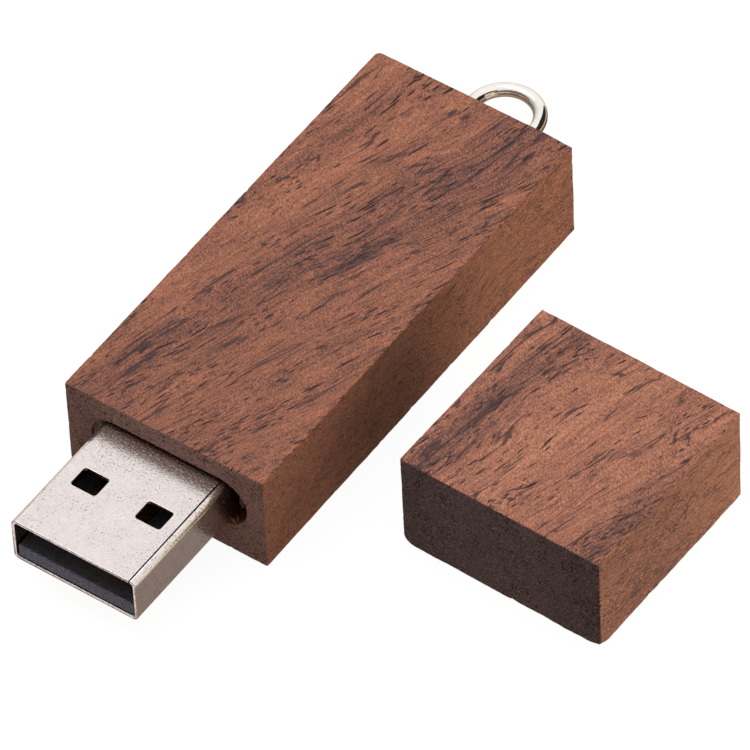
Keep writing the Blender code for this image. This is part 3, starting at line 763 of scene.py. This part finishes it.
def label_points(mesh, low, deep):
    """Stores where the wood is end grain, long side, edge or hole wall, for its material."""
    normals = np.empty(len(low) * 3)
    mesh.vertices.foreach_get("normal", normals)
    end, side = (np.clip((np.abs(normals[axis::3]) - 0.55) / 0.3, 0.0, 1.0) for axis in (1, 0))
    ordered = np.sort(low, axis=1)
    edge = np.exp(-np.maximum(ordered[:, 1], 0.0) / 0.15) * (ordered[:, 0] < 0.6)
    edge[low[:, 1] < 0.3] *= 0.35
    for label, values in (("end", end), ("side", side), ("edge", edge), ("deep", deep)):
        layer = mesh.attributes.new(label, "FLOAT", "POINT")
        layer.data.foreach_set("value", values.astype(np.float32))


def wooden_mesh(name, size, front_hole, rear_hole, wear, seed):
    """A closed block in its own frame: x about the middle, y from 0 and z from 0, in millimetres."""
    width, length, height = size
    around = rectangle(width, height)
    count = len(around)
    rings = face_rings(around, front_hole, 0.0, 1.0)[::-1]
    rings += [(around, y) for y in steps(length)]
    rings += face_rings(around, rear_hole, length, -1.0)
    points = [np.column_stack((r[:, 0], np.full(count, y), r[:, 1])) for r, y in rings]
    outer = np.repeat([float(r is around) for r, _ in rings], count)
    # How deep each ring lies in its hole, for the painted shade on the holes' walls
    depths = [min(1.0, max(0.0, (min(y, length - y) - 0.05) / 0.5)) for _, y in rings]
    deep = np.repeat(depths, count) * (1.0 - outer)

    half = (width / 2, 0.0, 0.0)
    shifted = np.concatenate(points) + half
    for number, edge in enumerate(wear):
        round_edge(shifted, size, seed + 3.7 * number, *edge)
    points = shifted - half
    low = np.minimum(shifted, np.array(size) - shifted)
    sand(points, shifted, low, outer, size, seed)
    mesh = closed_tube(name, points, count)
    label_points(mesh, low, deep)
    return mesh


# ---------------------------------------------------------------- wooden body and cap

LEFT, RIGHT = (0, 0), (0, 1)
FRONT, REAR = (1, 0), (1, 1)
BOTTOM, TOP = (2, 0), (2, 1)

low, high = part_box("wood_body")
body_size = tuple((high - low) / MM)
body_origin = Vector(((low.x + high.x) / 2, low.y, low.z))
body_front, body_rear = low.y, high.y
BODY_WEAR = (
    (FRONT, TOP, 0.10),
    (FRONT, BOTTOM, 0.20),
    (FRONT, LEFT, 0.14),
    (FRONT, RIGHT, 0.14),
    (REAR, TOP, 0.16, corner_wear(body_size[0], 1.6, 0.25)),
    (REAR, BOTTOM, 0.20),
    (REAR, LEFT, 0.85),
    (REAR, RIGHT, 0.18),
    (LEFT, TOP, 0.16),
    (RIGHT, TOP, 0.15),
    (LEFT, BOTTOM, 0.22),
    (RIGHT, BOTTOM, 0.20),
)
pocket = Hole(0.28, 5.4, 15.0, 5.1, 33.0, chamfer=0.10, rough=0.05, seed=4.0)
pilot = Hole(0.1, 4.5, 1.40, 1.40, 8.3, chamfer=0.12, rough=0.04, seed=8.0)
mesh = wooden_mesh("wooden_body", body_size, pocket, pilot, BODY_WEAR, 11.0)
mesh.transform(Matrix.Translation(body_origin))
add_piece("wooden_body", mesh, body_wood, "drive", "walnut", "wood_body")

# The cap lies turned, so its own length and its turn come from its box and its joint
slide = next(j for j in frame["joints"] if j["name"] == "cap_slide")
cap_yaw = math.atan2(-slide["axis"][0], -slide["axis"][1])
low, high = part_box("wood_cap")
cap_width, cap_height = body_size[0], (high.z - low.z) / MM
cap_length = ((high.y - low.y) / MM - cap_width * abs(math.sin(cap_yaw))) / math.cos(cap_yaw)
cap_size = (cap_width, cap_length, cap_height)
CAP_WEAR = (
    (FRONT, TOP, 0.13),
    (FRONT, BOTTOM, 0.30, both_corners(cap_width, 0.6, 0.55, 0.40)),
    (FRONT, LEFT, 0.22, corner_wear(0.0, 0.5, 0.75)),
    (FRONT, RIGHT, 0.20, corner_wear(0.0, 0.5, 0.60)),
    (REAR, TOP, 0.16),
    (REAR, BOTTOM, 0.20),
    (REAR, LEFT, 0.18),
    (REAR, RIGHT, 0.16),
    (LEFT, TOP, 0.18),
    (RIGHT, TOP, 0.14),
    (LEFT, BOTTOM, 0.34, corner_wear(0.0, 0.6, 0.75)),
    (RIGHT, BOTTOM, 0.34, corner_wear(0.0, 0.6, 0.60)),
)
slot = Hole(0.0, 5.4, 15.4, 4.9, 13.0, chamfer=0.12, rough=0.05, seed=14.0)
mesh = wooden_mesh("wooden_cap", cap_size, None, slot, CAP_WEAR, 47.0)
mesh.transform(Matrix.Translation((0.0, -cap_length / 2 * MM, 0.0)))
mesh.transform(Matrix.Rotation(-cap_yaw, 4, "Z"))
mesh.transform(Matrix.Translation(((low.x + high.x) / 2, (low.y + high.y) / 2, low.z)))
add_piece("wooden_cap", mesh, cap_wood, "cap", "walnut", "wood_cap")

# ---------------------------------------------------------------- plug shell

low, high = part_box("plug_shell")
plug_origin = Vector(((low.x + high.x) / 2, low.y, low.z))
PLUG_W, PLUG_H, WALL, CORNER, SEAM = 12.0, 4.5, 0.3, 0.55, 0.12
SHELL_LENGTH, LEG_LENGTH, LEG_OVERLAP = 18.7, 3.0, 1.5
LEG_LOW, LEG_HIGH = 0.6, 2.4
WINDOW_X, WINDOW_Y, WINDOW_W, WINDOW_L, WINDOW_R = 3.10, 6.50, 2.45, 2.05, 0.28
CUT_REACH = 6.0
SHEET_BEVEL, WALL_LOOP = 0.085, 0.03


def arc(centre, radius, start, end, segments):
    angles = np.radians(np.linspace(start, end, segments + 1))
    return [(centre[0] + radius * math.cos(a), centre[1] + radius * math.sin(a)) for a in angles]


def shell_section():
    """The folded sheet round once from the seam on the outside, then back on the inside."""
    x, z = PLUG_W / 2 - CORNER, PLUG_H / 2 - CORNER
    corners = (((-x, z), 90), ((-x, -z), 180), ((x, -z), 270), ((x, z), 360))
    outside = [(x - SEAM, PLUG_H / 2)]
    inside = [(x - SEAM, PLUG_H / 2 - WALL)]
    for centre, start in corners:
        outside += arc(centre, CORNER, start, start + 90, 12)
        inside += arc(centre, CORNER - WALL, start, start + 90, 12)
    return outside + inside[::-1]


def prism_y(outline, start, end):
    bm = bmesh.new()
    first, last = ([bm.verts.new((x, y, z)) for x, z in outline] for y in (start, end))
    bm.faces.new(first)
    bm.faces.new(reversed(last))
    bridge(bm, (first, last))
    bmesh.ops.recalc_face_normals(bm, faces=bm.faces)
    return bm


def prism_z(outline, start, end):
    bm = prism_y(outline, start, end)
    bmesh.ops.rotate(bm, verts=bm.verts, cent=(0, 0, 0), matrix=Matrix.Rotation(math.radians(90), 3, "X"))
    bmesh.ops.recalc_face_normals(bm, faces=bm.faces)
    return bm


def helper(name, bm):
    obj = bpy.data.objects.new(name, new_mesh(name, bm))
    SCENE.collection.objects.link(obj)
    return obj


def window_cutter(side):
    """A rounded rectangle; its second axis runs along -Y after the prism's turn about X."""
    x, y = WINDOW_W / 2 - WINDOW_R, WINDOW_L / 2 - WINDOW_R
    outline = []
    for quarter, (cx, cy) in enumerate(((x, y), (-x, y), (-x, -y), (x, -y))):
        centre = (side * WINDOW_X + cx, cy - WINDOW_Y)
        outline += arc(centre, WINDOW_R, 90 * quarter, 90 * quarter + 90, 6)
    return helper("window_work", prism_z(outline, -CUT_REACH, CUT_REACH))


def shell_leg(side):
    inner, outer = sorted((side * (PLUG_W / 2 - WALL), side * PLUG_W / 2))
    z0, z1 = LEG_LOW - PLUG_H / 2, LEG_HIGH - PLUG_H / 2
    outline = [(inner, z0), (outer, z0), (outer, z1), (inner, z1)]
    return helper("leg_work", prism_y(outline, SHELL_LENGTH - LEG_OVERLAP, SHELL_LENGTH + LEG_LENGTH))


def combined(obj, changes, bevelled=0.0):
    """The object's mesh after Boolean changes (operation, other object), which use the others up."""
    for operation, other in changes:
        boolean = obj.modifiers.new("cut", "BOOLEAN")
        boolean.object = other
        boolean.operation = operation
    if bevelled:
        bevel = obj.modifiers.new("bevel", "BEVEL")
        bevel.width = bevelled
        bevel.segments = 3
        bevel.limit_method = "ANGLE"
        bevel.angle_limit = math.radians(40)
    bpy.context.view_layer.update()
    graph = bpy.context.evaluated_depsgraph_get()
    mesh = bpy.data.meshes.new_from_object(obj.evaluated_get(graph), depsgraph=graph)
    for done in (obj, *(other for _, other in changes)):
        bpy.data.objects.remove(done)
    return mesh


def with_flat_walls(mesh):
    """A narrow loop round each flat wall, so the rounded edges don't bend its shading."""
    bm = bmesh.new()
    bm.from_mesh(mesh)
    walls = [f for f in bm.faces if f.calc_area() > 0.5 and max(abs(f.normal.x), abs(f.normal.z)) > 0.9999]
    bmesh.ops.inset_region(bm, faces=walls, thickness=WALL_LOOP, use_even_offset=True, use_boundary=True)
    bm.to_mesh(mesh)
    bm.free()
    return mesh


def add_metal(name, mesh, place, sharp, material, *rest):
    """A metal piece from a mesh in millimetres about its place."""
    mesh.name = name
    mesh.transform(Matrix.Scale(MM, 4))
    mesh.transform(Matrix.Translation(place))
    mesh.shade_smooth()
    mesh.set_sharp_from_angle(angle=math.radians(sharp))
    add_piece(name, mesh, material, *rest)


cuts = [("DIFFERENCE", window_cutter(side)) for side in (-1, 1)]
cuts += [("UNION", shell_leg(side)) for side in (-1, 1)]
sheet = helper("shell_work", prism_y(shell_section(), 0.0, SHELL_LENGTH))
mesh = with_flat_walls(combined(sheet, cuts, SHEET_BEVEL))
middle = plug_origin + Vector((0.0, 0.0, PLUG_H / 2 * MM))
add_metal("plug_sleeve", mesh, middle, 32, plug_metal, "drive", "plug_nickel", "plug_shell")

# ---------------------------------------------------------------- screw eye

RING_R, WIRE_R, RING_OUT = 2.95, 0.62, 3.75
EYE_X, EYE_Z = 0.0001, 0.0045
SHANK_START, THREAD_END, FLARE_START = -7.8, -0.45, 0.5
SHANK_STEPS = [*np.arange(SHANK_START, -0.4, 0.1), -0.3, 0.0, 0.3, 0.55, 0.8, 1.0]
THREAD_PITCH = 0.8


def ring_mesh():
    """A bent-wire ring whose end meets its shank, in millimetres about the rear face."""
    bm = bmesh.new()
    around, across = 128, 40
    rows = []
    for i in range(around):
        turn = 2 * math.pi * i / around
        wire = WIRE_R * (0.978 + 0.012 * math.sin(3 * turn + 0.4) + 0.008 * math.sin(7 * turn))
        row = []
        for j in range(across):
            angle = 2 * math.pi * j / across
            reach = RING_R + wire * math.cos(angle)
            x, y = reach * math.sin(turn), RING_OUT + reach * math.cos(turn)
            row.append(bm.verts.new((x, y, wire * math.sin(angle))))
        rows.append(row)
    bridge(bm, rows + rows[:1])
    bmesh.ops.recalc_face_normals(bm, faces=bm.faces)
    return bm


def shank_radius(y, turn):
    """Plain and slightly flared outside the wood, threaded and pointed inside it."""
    if y > THREAD_END:
        return 0.59 + 0.05 * max(0.0, y - FLARE_START)
    depth = y - SHANK_START
    ridge = max(0.0, 1.0 - abs((depth / THREAD_PITCH - turn) % 1.0 - 0.5) * 4.0)
    return (0.50 + 0.14 * ridge) * min(1.0, 0.35 + depth / 2.4)


def shank_mesh():
    """The shank from inside the wood to the ring, with a thread on the buried part."""
    bm = bmesh.new()
    around = 32
    rows = []
    for y in SHANK_STEPS:
        row = []
        for j in range(around):
            angle, radius = 2 * math.pi * j / around, shank_radius(y, j / around)
            row.append(bm.verts.new((radius * math.cos(angle), y, radius * math.sin(angle))))
        rows.append(row)
    bm.faces.new(rows[0])
    bm.faces.new(reversed(rows[-1]))
    bridge(bm, rows)
    bmesh.ops.recalc_face_normals(bm, faces=bm.faces)
    return bm


mesh = combined(helper("ring_work", ring_mesh()), [("UNION", helper("shank_work", shank_mesh()))])
place = Vector((EYE_X, body_rear, EYE_Z))
add_metal("key_eye_wire", mesh, place, 40, eye_metal, "key_eye", "eye_nickel", "screw_eye")

# ---------------------------------------------------------------- glue beads


def glue_bead(name, node, seed, grow, blunt):
    """An uneven bead. A blunt one fills a corner, as glue does that was wiped level."""
    low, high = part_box(node)
    centre, half = (low + high) / 2, (high - low) / 2 * Vector(grow)
    bm = bmesh.new()
    bmesh.ops.create_icosphere(bm, subdivisions=5, radius=1.0)
    for vert in bm.verts:
        lump = noise.noise(vert.co * 1.6 + Vector((seed, 0, 0)))
        lump += 0.5 * noise.noise(vert.co * 4.2 + Vector((0, seed, 0)))
        reach = 0.86 + 0.13 * max(-1.0, min(1.0, lump))
        direction = Vector([math.copysign(abs(c) ** blunt, c) for c in vert.co.normalized()])
        vert.co = centre + direction * half * reach
    add_piece(name, finish_mesh(bm, name), glue, "drive", "adhesive", node)


glue_bead("glue_bead_left", "glue_left", 3.0, grow=(1.80, 1.20, 1.70), blunt=0.30)
glue_bead("glue_bead_right", "glue_right", 7.0, grow=(1.0, 1.0, 1.0), blunt=1.0)

# ---------------------------------------------------------------- torn fibres in the pocket

FIBRE_FROM, FIBRE_TO, FIBRE_COUNT = -86, -50, 8
CRUMBS = ((-66, 0.35, 0.20), (-78, 0.60, 0.15))


def torn_fibre():
    s = Shader("torn_fibre")
    cloud = s.noise(s.object_mm(), scale=5.0, detail=3.0, roughness=0.6)
    tone = s.ramp(cloud, ((0.3, srgb(82, 50, 36)), (0.5, srgb(128, 80, 56)), (0.7, srgb(172, 116, 86))))
    return s.surface(tone, cloud, (0.6, 0.8), 0.03, 0.6)


def splinter(bm, root, direction, length, radius, curl):
    """A thin closed fibre that tapers to a point at both ends and curls upwards."""
    side = direction.cross(Vector((0.0, 0.0, 1.0))).normalized()
    lift = side.cross(direction).normalized()
    count, around = 7, 6
    turns = [2 * math.pi * j / around for j in range(around)]
    section = [side * math.cos(a) + lift * 0.6 * math.sin(a) for a in turns]
    rings = []
    for i in range(1, count):
        t = i / count
        centre = root + direction * length * t + lift * curl * t * t
        girth = radius * math.sin(math.pi * t) ** 0.6
        rings.append([bm.verts.new(centre + girth * offset) for offset in section])
    bridge(bm, rings)
    for ring, tip in ((rings[0], root), (rings[-1], root + direction * length + lift * curl)):
        point = bm.verts.new(tip)
        for j in range(around):
            bm.faces.new((ring[j], ring[(j + 1) % around], point))


def crumb(bm, centre, radius, seed):
    made = bmesh.ops.create_icosphere(bm, subdivisions=3, radius=1.0)["verts"]
    for vert in made:
        lump = noise.noise(vert.co * 1.9 + Vector((seed, 0, 0))) + 0.5 * noise.noise(vert.co * 5.0)
        vert.co = centre + vert.co * (radius * (0.8 + 0.35 * lump))


def pocket_fibres():
    """Fibres and crumbs left by the cutter at the pocket's right end, in millimetres."""
    rng = np.random.default_rng(5)
    bm = bmesh.new()
    front = body_front / MM
    middle = pocket.centre[0] + pocket.spine

    def on_wall(angle, depth, reach):
        out = Vector((math.cos(angle), 0.0, math.sin(angle)))
        return out, Vector((middle, front + depth, pocket.centre[1])) + out * reach

    for i in range(FIBRE_COUNT):
        share = (i + rng.uniform(0.1, 0.9)) / FIBRE_COUNT
        angle = math.radians(FIBRE_FROM + (FIBRE_TO - FIBRE_FROM) * share)
        reach = pocket.radius - rng.uniform(0.0, 0.12)
        out, root = on_wall(angle, rng.uniform(0.05, 0.6), reach)
        stray = Vector((rng.uniform(-0.6, 0.6), rng.uniform(-0.5, 0.6), rng.uniform(-0.2, 0.6)))
        heading = (stray - out * rng.uniform(0.2, 0.8)).normalized()
        splinter(bm, root, heading, rng.uniform(0.30, 0.70), rng.uniform(0.04, 0.08), rng.uniform(0.0, 0.2))
    for angle, depth, radius in CRUMBS:
        _, centre = on_wall(math.radians(angle), depth, pocket.radius - radius * 0.6)
        crumb(bm, centre, radius, angle)
    mesh = finish_mesh(bm, "pocket_fibres")
    mesh.transform(Matrix.Scale(MM, 4))
    return mesh


add_piece("pocket_fibres", pocket_fibres(), torn_fibre(), "drive", "walnut")

# ---------------------------------------------------------------- carried-over CAD nodes

LOOKS = {
    "contact_carrier": carrier_black,
    "supply_contact": contact_gold,
    "data_minus_contact": contact_gold,
    "data_plus_contact": contact_gold,
    "ground_contact": contact_gold,
    "circuit_board": board_green,
    "flash_chip": resin_black,
    "controller_chip": resin_black,
    "crystal": crystal_metal,
}
CHIP_COLOURS = {
    "capacitor": (0.42, 0.30, 0.19),
    "resistor": (0.02, 0.02, 0.022),
    "ferrite": (0.07, 0.07, 0.075),
}
TINNED, TINNED_FROM = (0.72, 0.70, 0.66), 0.5


def dress(node, material):
    mesh = frame["nodes"][node].data
    mesh.materials.clear()
    mesh.materials.append(material)


for node, material in LOOKS.items():
    dress(node, material)
for node in sorted(frame["nodes"]):
    colour = CHIP_COLOURS.get(node.split("_")[0])
    if colour:
        low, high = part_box(node)
        middle = tuple((low + high) / 2 / MM)
        dress(node, ceramic(f"{node}_finish", colour, TINNED, TINNED_FROM, middle))

# ---------------------------------------------------------------- stage, lights and camera

FLOOR_HALF, FLOOR_GAP = 2.5, 0.00002
BACKDROP_RADIUS, BACKDROP_HEIGHTS = 2.4, (-0.1, 1.5)


def glowing(name, colour, base=0.0, strength=1.0):
    """A surface with light of its own. A base above 0 is a grey that also takes soft shadows."""
    s = Shader(name)
    s.bsdf.inputs["Base Color"].default_value = (base, base, base, 1.0)
    s.bsdf.inputs["Roughness"].default_value = 1.0
    s.bsdf.inputs["Specular IOR Level"].default_value = 0.0
    s.bsdf.inputs["Emission Color"].default_value = (*colour, 1.0)
    s.bsdf.inputs["Emission Strength"].default_value = strength
    return s.material


def stage_object(name, bm, material):
    mesh = new_mesh(name, bm)
    mesh.materials.append(material)
    obj = bpy.data.objects.new(name, mesh)
    SCENE.collection.objects.link(obj)
    for flag in ("visible_diffuse", "visible_glossy", "visible_transmission", "visible_shadow"):
        setattr(obj, flag, False)
    return obj


def curved_wall(centre, radius, azimuths, heights, segments):
    """Part of an upright drum about a centre, in metres."""
    bm = bmesh.new()
    columns = []
    for angle in np.radians(np.linspace(*azimuths, segments + 1)):
        foot = centre + radius * Vector((math.cos(angle), math.sin(angle), 0.0))
        columns.append([bm.verts.new((foot.x, foot.y, centre.z + z)) for z in heights])
    for one, two in zip(columns, columns[1:]):
        bm.faces.new((one[0], two[0], two[1], one[1]))
    return bm


WHITE = (1.0, 1.0, 1.0)
bm = bmesh.new()
bmesh.ops.create_grid(bm, x_segments=1, y_segments=1, size=FLOOR_HALF)
floor = stage_object("floor", bm, glowing("stage_white", WHITE, base=0.13, strength=0.92))
floor.location.z = cad_box[0][2] - FLOOR_GAP
bm = curved_wall(Vector((0, 0, 0)), BACKDROP_RADIUS, (0.0, 360.0), BACKDROP_HEIGHTS, 64)
stage_object("backdrop", bm, glowing("backdrop_white", WHITE))

# The surround's colours from straight below, 0, to straight above, 1
BEHIND_STOPS = (
    (0.00, (0.27, 0.22, 0.195)),
    (0.145, (0.27, 0.215, 0.18)),
    (0.26, (0.50, 0.40, 0.27)),
    (0.38, (0.82, 0.71, 0.53)),
    (0.50, (0.92, 0.84, 0.70)),
    (0.62, (0.97, 0.93, 0.88)),
    (1.00, (1.0, 0.98, 0.97)),
)
CAMERA_SIDE_STOPS = (
    (0.00, (0.31, 0.245, 0.19)),
    (0.16, (0.30, 0.225, 0.17)),
    (0.32, (0.12, 0.095, 0.08)),
    (0.48, (0.10, 0.083, 0.075)),
    (0.64, (0.46, 0.42, 0.40)),
    (1.00, (1.0, 0.96, 0.94)),
)
BEHIND_DIRECTION, SWING_FROM, SWING_TO = (0.30, 0.95, 0.0), -0.6, 0.5


class World(Shader):
    """The surround's node tree, with a material's short calls."""

    def __init__(self, name):
        self.world = bpy.data.worlds.new(name)
        self.world.use_nodes = True
        self.tree = self.world.node_tree


def make_world():
    """A soft surround: bright behind and over the object, darker behind the camera and below."""
    s = World("studio")
    SCENE.world = s.world
    direction = s.node("ShaderNodeTexCoord").outputs["Generated"]
    height = s.node("ShaderNodeMapRange")
    height.inputs["From Min"].default_value = -1.0
    s.put(height.inputs["Value"], s.split(direction)[2])
    sides = [s.ramp(height.outputs[0], stops) for stops in (CAMERA_SIDE_STOPS, BEHIND_STOPS)]
    facing = s.vector("DOT_PRODUCT", direction, BEHIND_DIRECTION)
    swing = s.remap(facing, SWING_FROM, SWING_TO)
    s.put(s.tree.nodes["Background"].inputs["Color"], s.mix(swing, *sides))


def reflector(name, centre, radius, azimuths, heights, colour):
    """A curved card, in millimetres, that shows only in glossy surfaces."""
    wall = curved_wall(centre * MM, radius * MM, azimuths, [z * MM for z in heights], 13)
    card = stage_object(name, wall, glowing(name, colour))
    card.visible_glossy = True
    card.visible_camera = False


def area_light(name, location, target, size, power, colour=WHITE, glossy=True):
    data = bpy.data.lights.new(name, "AREA")
    data.shape = "RECTANGLE"
    data.size, data.size_y = size
    data.energy = power
    data.color = colour
    light = bpy.data.objects.new(name, data)
    light.location = location
    direction = Vector(target) - Vector(location)
    light.rotation_euler = direction.to_track_quat("-Z", "Y").to_euler()
    light.visible_glossy = glossy
    SCENE.collection.objects.link(light)


make_world()
eye = sum(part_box("screw_eye"), Vector()) / 2 / MM
low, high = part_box("plug_shell")
seam_side = Vector((high.x, low.y + 0.006, high.z)) / MM
mouth = Vector((0.0, low.y / MM, (low.z + high.z) / 2 / MM))
CARDS = (
    ("dark_right", eye, 35.0, (-30.0, 20.0), (22.0, 42.0), (0.05, 0.035, 0.028)),
    ("gold_right", eye, 35.0, (-30.0, 20.0), (-28.0, 22.0), (0.70, 0.54, 0.35)),
    ("dark_rear", eye, 35.0, (20.0, 85.0), (0.0, 38.0), (0.03, 0.02, 0.015)),
    ("gold_rear", eye, 35.0, (20.0, 85.0), (-10.0, 0.0), (0.50, 0.40, 0.28)),
    ("brown_rear", eye, 35.0, (20.0, 85.0), (-30.0, -10.0), (0.10, 0.07, 0.05)),
    ("gold_seam", seam_side, 60.0, (22.0, 50.0), (27.0, 60.0), (1.0, 0.86, 0.62)),
    ("olive_seam", seam_side, 60.0, (22.0, 50.0), (-4.0, 27.0), (0.46, 0.38, 0.26)),
    ("mouth", mouth, 38.0, (215.0, 250.0), (-54.0, -30.0), (0.98, 0.90, 0.86)),
)
for name, *card in CARDS:
    reflector(f"reflector_{name}", *card)
area_light("softbox_top", (-0.28, -0.06, 0.80), (0.005, 0.0, 0.0), (0.55, 0.55), 1.6)
warm = (1.0, 0.95, 0.88)
area_light("softbox_side", (0.30, 0.22, 0.16), (0.01, 0.0, 0.005), (0.22, 0.16), 0.36, warm, False)

AZIMUTH, ELEVATION, ROLL = 0.65369, 0.8512, -0.0529
DISTANCE = 0.7284
TARGET = Vector((0.00769, -0.00380, 0.005))
LENS, SENSOR = 442.39, 36.0
CLIP_START, CLIP_END = 0.01, 50.0


def make_camera():
    reach = math.cos(ELEVATION)
    back = Vector((math.sin(AZIMUTH) * reach, -math.cos(AZIMUTH) * reach, math.sin(ELEVATION)))
    level = Vector((math.cos(AZIMUTH), math.sin(AZIMUTH), 0.0))
    upright = back.cross(level)
    right = math.cos(ROLL) * level + math.sin(ROLL) * upright
    up = -math.sin(ROLL) * level + math.cos(ROLL) * upright
    data = bpy.data.cameras.new("camera")
    data.lens, data.sensor_width = LENS, SENSOR
    data.clip_start, data.clip_end = CLIP_START, CLIP_END
    camera = bpy.data.objects.new("camera", data)
    rotation = Matrix((right, up, back)).transposed().to_4x4()
    camera.matrix_world = Matrix.Translation(TARGET + DISTANCE * back) @ rotation
    SCENE.collection.objects.link(camera)
    SCENE.camera = camera


make_camera()
SCENE.view_settings.view_transform = "Standard"

bpy.context.view_layer.update()
